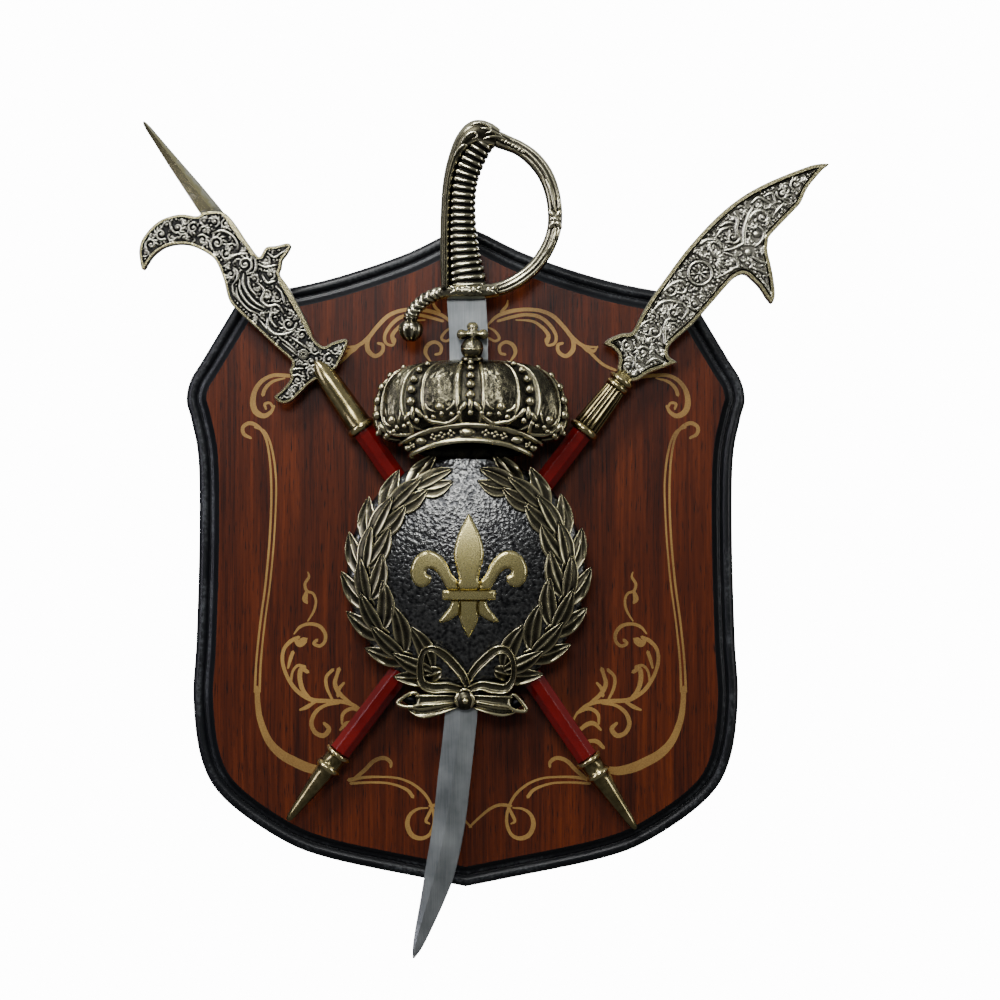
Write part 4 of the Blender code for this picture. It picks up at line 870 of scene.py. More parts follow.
GLAIVE_SCROLLS = [(1.0, 107.8, 3.2, 20, -1), (6.1, 122.8, 3.8, 200, -1), (-3.6, 99.4, 2.5, 60, 1),
                  (-6.8, 72.8, 3.4, 250, 1), (0.4, 65.3, 3.4, 300, -1), (-1.5, 53.3, 3.9, 100, -1),
                  (-0.0, 42.7, 3.4, 60, 1), (6.2, 48.2, 2.2, 200, 1), (6.9, 136.5, 3.0, 200, 1),
                  (-6.1, 58.4, 2.2, 10, 1), (5.9, 98.0, 2.0, 100, -1), (16.1, 111.7, 2.2, 40, 1)]
GLAIVE_DOTS = [(10.5, 106.6, 2.3), (7.3, 99.3, 1.6), (8.5, 115.3, 1.9), (-1.0, 48.3, 1.5), (0.6, 75.5, 0.8),
               (2.7, 77.3, 0.8), (4.5, 79.4, 0.8), (5.9, 82.1, 0.8), (7.0, 85.1, 0.8), (7.5, 88.5, 0.8)]
ROUNDEL = np.array([-1.1, 86.3])
SHELL = np.array([0.5, 94.7])
strands = [hoop(ROUNDEL, 5.2, 0.6)] + petals(ROUNDEL, 1.4, 4.0, 8, 0.6) + [dot(ROUNDEL, 0.8)]
strands += petals(ROUNDEL, 6.6, 8.6, 9, 0.7, 120.0, 250.0) + petals(SHELL, 1.6, 5.4, 8, 0.75, -25.0, 190.0)
strands += drawn(GLAIVE_STRANDS, GLAIVE_SCROLLS, GLAIVE_DOTS)
glaive_head = cast_on("glaive_head_cast", relief_plate(GLAIVE_SIDE, 1.6, [], 0.55, 3.2, strands, 0.42),
                      GLAIVE_LEAN, GLAIVE_RING_AT, head_brass)
FLUTED = [(1.2, 5.9), (1.8, 6.1), (6.0, 5.9), (12.0, 5.6), (18.0, 5.2), (22.0, 4.9), (23.0, 4.7)]
MOUTH = [(-1.8, 5.8), (-1.7, 6.5), (-1.1, 6.9), (-0.2, 7.0), (0.7, 6.8), (1.2, 6.2), (1.6, 5.6)]
COLLAR = [(22.6, 4.2), (22.8, 5.0), (23.6, 5.6), (24.4, 5.6), (25.2, 5.0), (25.5, 4.6), (25.8, 5.0),
          (26.6, 5.9), (27.6, 5.9), (28.4, 5.2), (28.8, 4.6), (31.0, 3.6)]
glaive_socket = cast_on("glaive_socket", gather([lathe(FLUTED, 96, 16, 0.55), lathe(MOUTH, 40),
                                                 lathe(COLLAR, 40)]),
                        GLAIVE_LEAN, GLAIVE_RING_AT, socket_brass)
for piece in (halberd_head, halberd_socket, glaive_head):
    piece.data.set_sharp_from_angle(angle=math.radians(40))

# Ferrules: a cast cone at the foot of each shaft, drawn to a point, with two beads where it takes the
# shaft; pushed on and pinned like the heads.
POINT = [(0.0, 5.1), (0.2, 5.9), (1.0, 6.4), (1.9, 6.0), (2.4, 5.2), (3.0, 4.9), (6.6, 4.8), (7.2, 5.1),
         (7.9, 5.9), (8.7, 6.0), (9.4, 5.4), (10.0, 4.7), (12.0, 4.45), (24.0, 3.1), (33.0, 2.1), (36.6, 1.5),
         (38.0, 0.9), (38.4, 0.2)]
for name, lean in (("halberd", HALBERD_LEAN), ("glaive", GLAIVE_LEAN)):
    profile = [(-BUTT_RING_AT - along, radius) for along, radius in POINT][::-1]
    points, faces, _ = lathe(profile, 40)
    wear_and_painted_light = [0.85 if math.hypot(p[0], p[2]) > 5.3 else 0.55 for p in points]
    cone = cast_on(name + "_point", (points, faces, wear_and_painted_light), lean, 0.0, socket_brass)
    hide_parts(name + "_ferrule")
    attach(cone, "root")
for piece, node in ((halberd_head, "halberd_head"), (halberd_socket, "halberd_head"),
                    (glaive_head, "glaive_head"), (glaive_socket, "glaive_head")):
    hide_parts(node)
    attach(piece, "root")

# Shafts: eight-sided wooden rods painted gloss red over softened corners. They are halved into each other
# where the boss hides them and held between it and the board.


def gloss_red(name):
    """Gloss red brushed over an eight-sided rod; the paint softens its corners."""
    made, tree, place = new_finish(name)
    cloud = noise(tree, place, 60.0, 3.0)
    colour = tones(tree, cloud, (0.3, (0.095, 0.0022, 0.0018)), (0.7, (0.150, 0.0042, 0.0030)))
    soft = add(tree, "ShaderNodeBevel", {"Radius": 0.0009}, samples=6)
    dent = dents(tree, noise(tree, place, 700.0, 2.0), 0.10, 0.0002)
    tree.links.new(soft.outputs[0], dent.inputs["Normal"])
    surface(tree, {"Base Color": colour, "Roughness": spread(tree, cloud, 0.14, 0.24),
                   "Normal": dent.outputs[0], "Coat Weight": 0.3, "Coat Roughness": 0.06,
                   "Specular IOR Level": 0.35})
    return made


red = gloss_red("gloss_red_paint")
for name in ("halberd_shaft", "glaive_shaft"):
    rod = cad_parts[name]
    rod.data.materials.clear()
    rod.data.materials.append(red)

# Sabre: a ground steel blade with a blunt ridge, held by the cast hilt above and passing behind the crown.
# Its face is left grey from the wheel, with fine scratches along its length.
BLADE_HEIGHT = 13.7
BLADE = [(114.4, -8.0, 9.3, 0.47), (88.0, -6.8, 10.2, 0.47), (10.0, -7.5, 8.6, 0.48),
         (-40.0, -8.2, 7.0, 0.49), (-69.0, -8.9, 5.5, 0.49), (-96.6, -12.0, 2.6, 0.47),
         (-118.3, -14.4, 0.0, 0.42), (-138.7, -17.7, -4.2, 0.36), (-151.5, -19.8, -8.9, 0.32),
         (-164.4, -22.1, -14.8, 0.28), (-172.5, -23.2, -18.9, 0.25), (-177.2, -23.2, -22.3, 0.3)]


def on_plaque(points, height=0.0):
    """From x, up and towards the viewer, measured from a height above the board's face."""
    p = np.asarray(points, float)
    return np.stack([p[:, 0], FACE_Y - height - p[:, 2], p[:, 1]], 1)


def ground_steel(name):
    """Grey steel straight from the wheel, scratched along the blade."""
    made, tree, place = new_finish(name)
    scratch = noise(tree, stretched(tree, place, (2600.0, 2600.0, 60.0)), 1.0, 2.0)
    cloud = noise(tree, place, 70.0, 4.0)
    colour = tones(tree, scaled(tree, scratch, 0.4, cloud), (0.45, (0.17, 0.185, 0.19)),
                   (0.95, (0.34, 0.36, 0.36)))
    surface(tree, {"Base Color": colour, "Metallic": 1.0, "Roughness": spread(tree, cloud, 0.38, 0.56),
                   "Normal": dents(tree, scratch, 0.18, 0.0002).outputs[0]})
    return made


rings = []
for z, left, right, share in through(BLADE, 6):
    ridge = left + (right - left) * share
    soft = min(0.35, (right - left) * 0.2)
    rings.append([(left, z, -0.2), (ridge, z, -1.0), (right, z, -0.7), (right, z, 0.7 - soft * 0.6),
                  (right - soft, z, 0.72), (ridge + 0.15, z, 0.98), (ridge - 0.15, z, 0.98), (left, z, 0.2)])
points, faces, wear_and_painted_light = loft(rings[::-1])
blade = make("blade", on_plaque(points, BLADE_HEIGHT), faces, ground_steel("ground_steel"), False)
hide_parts("sabre_blade")
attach(blade, "root")

# Hilt: one casting. A ribbed grip with a strap down its back, which swells into the pommel and runs on as
# the knuckle bow, reeded along its face; then the guard and a leafy quillon that ends in a fluted ball.
RIBS = 22
RIB_STEPS = 8
RIB_DEEP = 1.0
RIB_RISE = 0.9
GRIP_DEEP = 6.0
GRIP = [(7.8, 184.6, 5.6), (3.2, 177.0, 6.1), (-0.2, 168.5, 6.4), (-1.5, 159.0, 6.4), (-1.5, 146.0, 6.7),
        (-0.8, 134.0, 7.6), (0.8, 124.0, 8.6), (1.2, 119.0, 8.8)]
# Strap, bow and guard: x, height, half width, depth towards the viewer.
STRAP = [(-8.9, 118.0, 2.1, 6.6), (-8.9, 132.0, 2.1, 6.6), (-8.9, 145.0, 2.1, 6.5), (-8.4, 158.5, 2.1, 6.5),
         (-7.1, 169.0, 2.2, 6.5), (-4.6, 177.2, 2.7, 6.6), (-0.6, 184.2, 4.0, 6.9), (4.6, 188.0, 5.5, 6.8),
         (9.6, 187.2, 5.6, 6.0), (14.2, 185.5, 4.4, 4.8)]
BOW = [(11.6, 186.8, 3.2, 4.6), (15.0, 185.2, 3.6, 4.4), (19.0, 183.6, 3.4, 3.7), (24.4, 181.2, 3.3, 3.5),
       (30.1, 176.9, 3.5, 3.5), (34.9, 171.0, 3.5, 3.5), (38.0, 164.0, 3.4, 3.5), (39.6, 156.3, 3.3, 3.5),
       (39.8, 148.0, 3.2, 3.5), (38.3, 141.5, 3.1, 3.5), (35.6, 135.6, 3.1, 3.5), (31.6, 129.8, 3.1, 3.5),
       (26.6, 125.2, 3.1, 3.5), (21.0, 121.6, 3.1, 3.7), (15.1, 119.2, 3.1, 4.2), (8.0, 118.2, 2.8, 4.8)]
GUARD = [(14.6, 118.4, 2.6, 5.2), (9.0, 118.0, 3.3, 6.4), (2.0, 117.8, 3.4, 7.2), (-5.0, 117.8, 3.3, 7.0),
         (-10.0, 117.4, 3.0, 5.6), (-14.0, 116.2, 2.9, 4.4), (-18.2, 113.9, 3.0, 4.0),
         (-21.4, 110.9, 3.0, 3.8), (-23.7, 107.8, 2.9, 3.6), (-24.1, 106.0, 2.4, 3.2)]
BALL = [(95.7, 0.2), (95.9, 1.7), (96.6, 3.1), (97.8, 4.4), (99.4, 5.3), (101.4, 5.65), (103.2, 5.2),
        (104.4, 4.2), (105.0, 3.3), (105.3, 2.7), (105.7, 3.3), (106.2, 3.5), (106.7, 3.2), (107.0, 2.7),
        (107.4, 3.1), (107.9, 3.2), (108.4, 2.6)]


def sweep(line, section, steps=8):
    """A bar along x, up, half width, depth; the section gives across, out and how worn, for a unit bar."""
    path = through(line, steps)
    side = sideways(path)
    rings = []
    marks = []
    for i, row in enumerate(path):
        across, out, wear_and_painted_light = section(i / (len(path) - 1), row[2], row[3])
        rings.append(np.stack([row[0] + side[i, 0] * across, row[1] + side[i, 1] * across, out], 1))
        marks.append(wear_and_painted_light)
    return loft(rings, marks)


def turned_round(count):
    """Cosine and sine of so many even steps of a full turn."""
    turn = np.linspace(0, 2 * math.pi, count, endpoint=False)
    return np.cos(turn), np.sin(turn)


def flattened(wave, power):
    """A cosine or sine drawn out, so that a round section gets flatter sides."""
    return np.sign(wave) * np.abs(wave) ** power


def strap_section(t, half, deep):
    c, s = turned_round(28)
    across = half * flattened(c, 0.75)
    out = deep * flattened(s, 0.6)
    edge = np.abs(across) / half
    return across, out, np.where(s > 0.1, 0.36 + 0.62 * np.exp(-((edge - 0.78) / 0.17) ** 2), 0.35)


def bow_section(t, half, deep):
    c, s = turned_round(40)
    across = half * c
    reed = np.abs(np.cos(1.5 * math.pi * c)) ** 0.7
    front = np.clip(s * 3, 0, 1)
    out = deep * flattened(s, 0.7) - 0.85 * (1 - reed) * front
    return across, out, np.where(s > 0, 0.10 + 0.85 * reed ** 1.5, 0.35)


def guard_section(t, half, deep):
    c, s = turned_round(36)
    leafy = np.clip((t - 0.42) * 6, 0, 1) * np.clip((0.97 - t) * 12, 0, 1)
    wave = np.abs(np.sin(math.pi * (t * 15 + 0.8 * np.abs(c))))
    swell = 1 + leafy * 0.16 * (wave - 0.5)
    across = half * flattened(c, 0.8) * swell
    out = deep * flattened(s, 0.7) * swell
    plain = 0.55 + 0.4 * np.exp(-((np.abs(c) - 0.8) / 0.25) ** 2)
    return across, out, np.where(s > 0, plain * (1 - leafy) + leafy * (0.1 + 0.85 * wave), 0.4)


def ball(at, radii, level=0.9, lean=0.0, rows=8, sides=14):
    """A bead or an egg: radii across, up and out, turned in the plaque's plane."""
    turn = math.radians(lean)
    rings = []
    for i in range(rows + 1):
        v = math.pi * (0.02 + 0.96 * i / rows)
        ring = []
        for k in range(sides):
            u = 2 * math.pi * k / sides
            a = radii[0] * math.sin(v) * math.cos(u)
            b = -radii[1] * math.cos(v)
            ring.append((at[0] + a * math.cos(turn) + b * math.sin(turn),
                         at[1] - a * math.sin(turn) + b * math.cos(turn),
                         at[2] + radii[2] * math.sin(v) * math.sin(u)))
        rings.append(ring)
    points, faces, _ = loft(rings)
    wear_and_painted_light = [level * (0.55 + 0.45 * max(0.0, (p[2] - at[2]) / radii[2])) for p in points]
    return points, faces, wear_and_painted_light


def bead_line(line, size, sides=10, level=0.9):
    """A thin raised wire along points of x, up, out."""
    path = through(line, 5)
    rings = []
    for i, p in enumerate(path):
        run = path[min(i + 1, len(path) - 1)] - path[max(i - 1, 0)]
        run = run / (np.linalg.norm(run) + 1e-9)
        across = np.cross(run, (0, 0, 1.0))
        across /= np.linalg.norm(across) + 1e-9
        up = np.cross(across, run)
        taper = size * min(1.0, 0.35 + 3.0 * min(i, len(path) - 1 - i) / len(path))
        turn = np.linspace(0, 2 * math.pi, sides, endpoint=False)[:, None]
        rings.append(p + taper * (np.cos(turn) * across + np.sin(turn) * up))
    return loft(rings, [level] * len(rings))


spine = through(GRIP, 30)
side = sideways(spine)
length = np.concatenate([[0], np.cumsum(np.linalg.norm(np.diff(spine[:, :2], axis=0), axis=1))])
rings = []
marks = []
c, s = turned_round(30)
for i in range(RIBS * RIB_STEPS + 1):
    share = i / (RIBS * RIB_STEPS)
    x, up, half = (np.interp(share * length[-1], length, spine[:, k]) for k in range(3))
    sx, sz = (np.interp(share * length[-1], length, side[:, k]) for k in range(2))
    crest = abs(math.sin(math.pi * RIBS * share)) ** 0.55
    size = half - RIB_DEEP + RIB_DEEP * crest
    deep = GRIP_DEEP * (0.85 + 0.15 * share) - RIB_RISE + RIB_RISE * crest
    across = size * flattened(c, 0.8)
    out = deep * flattened(s, 0.65)
    rings.append(np.stack([x + sx * across, up + sz * across, out], 1))
    marks.append(np.full(30, 0.02 + 0.9 * crest ** 5))
hilt_parts = [loft(rings, marks), sweep(STRAP, strap_section), sweep(BOW, bow_section, 10),
              sweep(GUARD, guard_section, 9)]
knob = lathe(BALL, 60, 9, 0.4, (-24.1, 0.0))
hilt_parts.append((knob[0], knob[1], [max(0.45, w) for w in knob[2]]))
# A small flower half way down the bow.
FLOWER_AT = (39.9, 149.6)
for lean, reach in ((38, 3.6), (-38, 3.6), (142, 3.6), (-142, 3.6), (90, 2.0), (-90, 2.0)):
    turn_in = math.radians(lean)
    petal_at = (FLOWER_AT[0] + 0.55 * reach * math.sin(turn_in),
                FLOWER_AT[1] + 0.75 * reach * math.cos(turn_in), 3.4)
    hilt_parts.append(ball(petal_at, (1.25, reach * 0.75, 0.9), 1.0, lean))
hilt_parts.append(ball((*FLOWER_AT, 3.9), (1.4, 1.4, 1.0), 1.0))
for line in ([(39.6, 153.0, 3.7), (38.9, 158.0, 3.7), (37.6, 163.0, 3.7), (35.6, 167.4, 3.6)],
             [(40.2, 146.2, 3.7), (39.2, 141.4, 3.7), (37.0, 136.6, 3.7), (34.2, 132.6, 3.6)],
             [(41.4, 153.0, 3.2), (41.6, 156.4, 3.2), (40.8, 159.4, 3.2)],
             [(41.4, 146.4, 3.2), (41.2, 143.2, 3.2), (40.0, 140.4, 3.2)]):
    hilt_parts.append(bead_line(line, 0.8, 8, 1.0))
# Leaves along the guard, each a bud with four petals.
GUARD_Z = 118.2
for x, out in ((-3.0, 6.8), (4.0, 6.8), (10.4, 5.6)):
    hilt_parts.append(ball((x, GUARD_Z, out), (1.2, 1.6, 1.1), 1.0))
    for lean in (-62, 62, -118, 118):
        petal_at = (x + 2.2 * math.sin(math.radians(lean)),
                    GUARD_Z + 1.5 * math.cos(math.radians(lean)), out - 0.4)
        hilt_parts.append(ball(petal_at, (0.8, 2.0, 0.9), 1.0, lean))
# Curling lines over the pommel, then a row of beads where it passes into the bow.
for line in ([(-2.6, 181.0, 6.2), (0.2, 185.4, 6.9), (4.0, 187.6, 7.1), (5.4, 185.4, 7.0), (3.2, 184.4, 6.8)],
             [(1.0, 189.4, 6.2), (5.4, 191.6, 6.3), (10.2, 190.6, 6.0), (11.6, 188.0, 6.0),
              (9.2, 187.2, 6.4)],
             [(-4.8, 176.6, 6.4), (-3.2, 179.6, 6.7), (-0.6, 181.8, 6.9), (1.0, 181.6, 6.7)],
             [(8.0, 184.6, 6.1), (12.0, 185.8, 5.6), (15.6, 185.6, 4.8), (19.0, 184.0, 4.2)],
             [(7.0, 189.4, 6.7), (10.0, 189.0, 6.4), (13.6, 187.4, 5.4), (16.6, 186.0, 4.7)]):
    hilt_parts.append(bead_line(line, 0.62, 8, 1.0))
for k in range(7):
    t = k / 6
    hilt_parts.append(ball((16.6 + 9.0 * t, 184.4 - 3.8 * t - 1.2 * t * t, 3.9 - 0.2 * t),
                           (0.75, 1.15, 0.8), 1.0, 50 if k % 2 else 110))
points, faces, wear_and_painted_light = gather(hilt_parts)
hilt_brass = cast_metal("hilt_brass", (0.012, 0.011, 0.010), (0.085, 0.078, 0.050), (0.76, 0.71, 0.48),
                        (0.32, 0.16), 0.04)
hilt = make("sabre_hilt_cast", on_plaque(points, BLADE_HEIGHT), faces, hilt_brass, True, wear_and_painted_light)
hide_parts("sabre_hilt")
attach(hilt, "root")

# Boss: one hollow casting over the crossing. A hammered dome inside a wreath of laurel tied with a ribbon
# bow, a raised lily in its middle and a closed crown above; blackened, then rubbed on the high places.
DISC_AT = (0.6, -7.7)
DISC_R = 52.6
FIELD_AT = (1.2, -2.4)
DOME = 6.0
DOME_R = 50.0
DOME_BASE = 15.0
# From this radius outwards the rim drops by so much, but not where it passes over the blade.
RIM_FROM = 46.0
RIM_DROP = 3.0
BLADE_CLEAR = 22.0
# The wreath: groups of three leaves a side, with the angle of the first, from one to the next and of the
# last tip.
LEAF_GROUPS = 8
LEAF_FIRST = -74.0
LEAF_STEP = 18.6
LEAF_LAST = 83.0
LEAF_SUNK = 2.6
LILY_AT = (1.8, -7.6)
LILY_TOP = 22.2


def lumps(x, z, cell, seed):
    """Smooth random hills, one to a cell."""
    table = np.random.default_rng(seed).random((256, 256))
    u, v = x / cell + 128.0, z / cell + 128.0
    i, j = np.floor(u).astype(int), np.floor(v).astype(int)
    a, b = u - i, v - j
    a, b = a * a * (3 - 2 * a), b * b * (3 - 2 * b)
    i, j = i % 255, j % 255
    return (table[i, j] * (1 - a) * (1 - b) + table[i + 1, j] * a * (1 - b) + table[i, j + 1] * (1 - a) * b
            + table[i + 1, j + 1] * a * b)


def dome_height(x, z):
    """Front of the plain dome above the board's face."""
    r = np.hypot(x - DISC_AT[0], z - DISC_AT[1])
    beside_blade = np.clip(np.abs(x - DISC_AT[0]) / BLADE_CLEAR, 0.0, 1.0)
    drop = RIM_DROP * beside_blade * np.clip((r - RIM_FROM) / (DISC_R - RIM_FROM), 0, 1) ** 2
    return DOME_BASE + DOME * np.clip(1 - (r / DOME_R) ** 2, 0, 1) - drop


radii = np.concatenate([np.linspace(0.25, 44, 30), np.linspace(45, DISC_R, 10)])
turn = np.linspace(0, 2 * math.pi, 180, endpoint=False)
ring_r, ring_t = np.meshgrid(radii, turn, indexing="ij")
x = DISC_AT[0] + ring_r * np.cos(ring_t)
z = DISC_AT[1] + ring_r * np.sin(ring_t)
out = dome_height(x, z)
rings = [np.stack([x[i], z[i], out[i]], 1) for i in range(len(radii))]
marks = [np.full(len(turn), 0.3)] * len(radii)
for r, level in ((DISC_R + 0.8, 9.0), (DISC_R, 0.35), (0.3, 0.35)):
    rings.append(np.stack([DISC_AT[0] + r * np.cos(turn), DISC_AT[1] + r * np.sin(turn),
                           np.full(len(turn), level)], 1))
    marks.append(np.full(len(turn), 0.3))
dome = loft(rings, marks)


def leaf(base, tip, wide, bend, lift):
    """A laurel leaf on the dome: raised edges, hollow halves and a midrib, its sides let into the disc."""
    base, tip = np.array(base, float), np.array(tip, float)
    run = tip - base
    long = np.linalg.norm(run)
    run /= long
    left = np.array([-run[1], run[0]])
    across = np.array([-1, -1, -0.93, -0.80, -0.55, -0.28, -0.09, 0, 0.09, 0.28, 0.55, 0.80, 0.93, 1, 1])
    shape = np.array([0, 0.42, 0.66, 0.54, 0.26, 0.24, 0.55, 0.74, 0.55, 0.24, 0.26, 0.54, 0.66, 0.42, 0])
    rub = np.array([0.0, 0.5, 1.0, 0.65, 0.30, 0.26, 0.5, 0.9, 0.5, 0.26, 0.30, 0.65, 1.0, 0.5, 0.0])
    rows = 18
    points = []
    wear_and_painted_light = []
    for i in range(rows + 1):
        s = i / rows
        plump = math.sin(math.pi * min(1.0, 0.06 + 0.94 * s) ** 0.82) if 0 < s < 1 else 0.0
        half = max(wide / 2 * plump ** 0.8, 0.03)
        spine = base + run * long * s + left * bend * math.sin(math.pi * s)
        swell = min(1.0, half / (wide * 0.3))
        for k, a in enumerate(across):
            spot = spine + left * a * half
            ground = float(dome_height(spot[0], spot[1]))
            top = ground + lift * (0.35 + 0.65 * s) + 1.15 * shape[k] * (0.35 + 0.65 * swell) + 0.5
            points.append((spot[0], spot[1], ground - LEAF_SUNK if k in (0, len(across) - 1) else top))
            wear_and_painted_light.append(rub[k])
    count = len(across)
    faces = [(i * count + k + 1, i * count + k, (i + 1) * count + k, (i + 1) * count + k + 1)
             for i in range(rows) for k in range(count - 1)]
    return points, faces, wear_and_painted_light


def from_field(radius, angle, middle=DISC_AT):
    turned = math.radians(angle)
    return (middle[0] + radius * math.cos(turned), middle[1] + radius * math.sin(turned))


# Each leaf: radius and angle of its base, then of its tip, what the tip is measured round, its width, its
# bend and its lift off the dome.
wreath = []
for side in (-1, 1):
    for k in range(LEAF_GROUPS):
        angle = LEAF_FIRST + LEAF_STEP * k + (2.0 if side > 0 else 0.0)
        trio = ((43.5, angle - 2, 55.6, angle + 20, DISC_AT, 8.8, 1.8, 0.6),
                (44.0, angle + 4, 36.8, angle + 26, FIELD_AT, 8.2, -1.6, 1.0),
                (45.5, angle + 3, 47.6, angle + 28, DISC_AT, 7.2, 0.9, 1.9))
        for r0, a0, r1, a1, around_at, wide, bend, lift in trio:
            a1 = min(a1, LEAF_LAST)
            base, tip = from_field(r0, a0), from_field(r1, a1, around_at)
            if side < 0:
                base, tip = (2 * DISC_AT[0] - base[0], base[1]), (2 * DISC_AT[0] - tip[0], tip[1])
            wreath.append(leaf(base, tip, wide, bend * -side, lift + 0.05 * k))

LILY = [(0.0, 27.0), (2.2, 23.6), (4.6, 18.6), (6.3, 12.6), (6.4, 8.0), (5.4, 3.6), (4.4, -0.4), (4.6, -2.2),
        (7.4, 0.4), (9.2, 4.4), (12.2, 8.6), (16.8, 11.0), (21.4, 10.0), (24.8, 6.0), (25.8, 0.8),
        (24.0, -3.6), (20.6, -5.2), (17.4, -3.6), (16.6, -0.6), (18.6, 0.9), (18.2, 2.9), (15.4, 2.7),
        (12.6, -0.6), (10.4, -4.6), (9.4, -6.3), (11.4, -6.5), (11.8, -8.6), (11.4, -10.7), (8.0, -11.0),
        (8.6, -14.0), (11.4, -17.6), (13.2, -20.4), (9.8, -20.4), (6.4, -18.4), (4.6, -17.4), (3.6, -20.8),
        (1.6, -25.0), (0.0, -27.4)]


def raised_shape(shape, base, top, bevel, grid, cuts=()):
    """A plate with a chamfered edge and a flat top; each cut is a groove or, if negative, a raised line."""
    low, high = shape.min(0), shape.max(0)
    across, along = np.meshgrid(np.arange(low[0], high[0], grid), np.arange(low[1], high[1], grid))
    spots = np.stack([across.ravel(), along.ravel()], 1)
    depth = to_edge(spots, shape)
    spots, depth = spots[depth > grid * 0.4], depth[depth > grid * 0.4]
    height = top - bevel * np.clip(1 - depth / bevel, 0, 1)
    wear_and_painted_light = np.where(depth < bevel, 0.75, 0.62) + 0.3 * np.exp(-((depth - bevel) / 0.25) ** 2)
    for line, deep in cuts:
        gap, half = to_line(spots, line)
        share = np.clip(1 - gap / half, 0, 1) ** 0.5 if deep > 0 else np.clip((half + 0.4 - gap) / 0.4, 0, 1)
        height = height - deep * share
        wear_and_painted_light = wear_and_painted_light - 0.8 * share * (deep > 0)
    return gather(plate_skin(shape, spots, height, wear_and_painted_light, top - bevel, base, (0.6, 0.5, 0.0)))


def mirrored(half, at):
    """A smooth anticlockwise outline from its right half, moved to its place."""
    half = np.array(half)
    shape = through(np.vstack([half, (half * (-1, 1))[::-1][1:-1]]) + at, 3, closed=True)
    return anticlockwise(shape)


veins = []
for side in (-1, 1):
    for groove in (((4.9, -1.6, 0.5), (5.0, -4.0, 0.5), (4.2, -6.2, 0.45)),
                   ((4.2, -11.0, 0.45), (3.8, -14.0, 0.5), (4.2, -17.2, 0.5))):
        veins.append((through([(LILY_AT[0] + side * a, LILY_AT[1] + b, w) for a, b, w in groove], 5), 1.0))
for up in (-6.3, -10.9):
    veins.append((np.array([(LILY_AT[0] + a, LILY_AT[1] + up, 0.45) for a in (-11.6, 11.6)]), 0.9))
points, faces, wear_and_painted_light = raised_shape(mirrored(LILY, LILY_AT), 15.5, LILY_TOP, 0.9, 0.5, veins)
lily = ([(x, z, out - DOME * ((x - DISC_AT[0]) ** 2 + (z - DISC_AT[1]) ** 2) / DOME_R ** 2)
         for x, z, out in points], faces, wear_and_painted_light)

# Ribbon bow: cast in one with the wreath whose stems it ties. Its strips have turned-up edges and hollow
# middles, and are looped twice, with two arms that open like mouths and two tails under them.


def ribbon_section(folds):
    """The skin across a strip, with so many lengthwise folds."""
    def section(t, half, deep):
        a = np.concatenate([[-1.0], np.linspace(-1, 1, 25), [1.0]])
        edge = np.exp(-((np.abs(a) - 0.72) / 0.24) ** 2)
        fold = 0.5 - 0.5 * np.cos(math.pi * (folds + 1) * (a + 1)) if folds else 0 * a
        out = deep + 0.85 * edge + 0.55 * fold * (1 - edge) - np.clip(np.abs(a) - 0.86, 0, 1) * 5
        out[0] = out[-1] = deep - 4.0
        wear_and_painted_light = 0.42 + 0.52 * edge ** 2 + 0.3 * fold
        wear_and_painted_light[0] = wear_and_painted_light[-1] = 0.0
        return half * a, out, np.clip(wear_and_painted_light, 0, 1)
    return section


# Middle line of each strip: x, height, half width, front above the board's face.
LEFT_LOOP = [(1.3, -56.6, 1.6, 18.0), (-1.0, -51.6, 2.2, 19.4), (-4.8, -46.8, 2.4, 20.4),
             (-9.4, -42.2, 2.3, 21.2), (-13.8, -39.9, 1.7, 21.4), (-17.6, -40.6, 1.4, 21.0),
             (-19.3, -44.6, 1.6, 20.4), (-19.7, -50.4, 1.8, 19.6), (-18.6, -55.2, 2.2, 19.0),
             (-14.0, -57.2, 2.7, 18.8), (-7.4, -57.0, 2.6, 18.6), (-1.0, -58.2, 1.9, 18.0)]
RIGHT_LOOP = [(0.8, -55.0, 1.6, 18.0), (4.4, -49.2, 2.2, 19.6), (9.2, -44.2, 2.4, 20.6),
              (13.8, -40.6, 2.2, 21.4), (18.0, -40.4, 2.0, 21.4), (20.6, -43.8, 1.5, 21.0),
              (21.6, -48.8, 1.3, 20.2), (20.8, -54.0, 1.6, 19.4), (17.8, -57.4, 2.4, 18.8),
              (12.6, -57.2, 2.8, 18.8), (7.2, -56.2, 2.3, 18.6), (1.6, -58.0, 1.7, 18.0)]
LEFT_ARM = [(-2.0, -62.2, 1.7, 17.4), (-7.4, -62.2, 2.2, 18.4), (-13.0, -62.5, 2.6, 18.6),
            (-18.4, -62.7, 2.8, 18.2), (-21.6, -62.9, 2.9, 17.4)]
RIGHT_ARM = [(2.0, -62.0, 1.7, 17.4), (7.4, -62.2, 2.1, 18.4), (12.6, -62.8, 2.6, 18.6),
             (17.6, -63.2, 3.0, 18.2), (20.6, -63.6, 3.1, 17.4)]
LEFT_TAIL = [(-3.0, -64.8, 1.4, 15.6), (-8.0, -66.0, 2.0, 16.4), (-13.0, -67.3, 2.7, 16.4),
             (-18.8, -68.3, 2.8, 15.6), (-23.0, -67.5, 1.7, 14.6), (-25.0, -66.4, 0.6, 14.0)]
RIGHT_TAIL = [(3.0, -64.8, 1.4, 15.6), (7.4, -66.0, 1.8, 16.4), (12.0, -67.1, 2.4, 16.4),
              (16.8, -67.9, 2.5, 15.6), (21.0, -67.7, 1.6, 14.6), (23.2, -67.2, 0.6, 14.0)]
LEFT_MOUTH = [(-20.0, -61.2), (-21.6, -59.4), (-25.4, -60.4), (-29.8, -63.8), (-27.4, -65.3), (-23.0, -65.6),
              (-20.6, -64.2)]
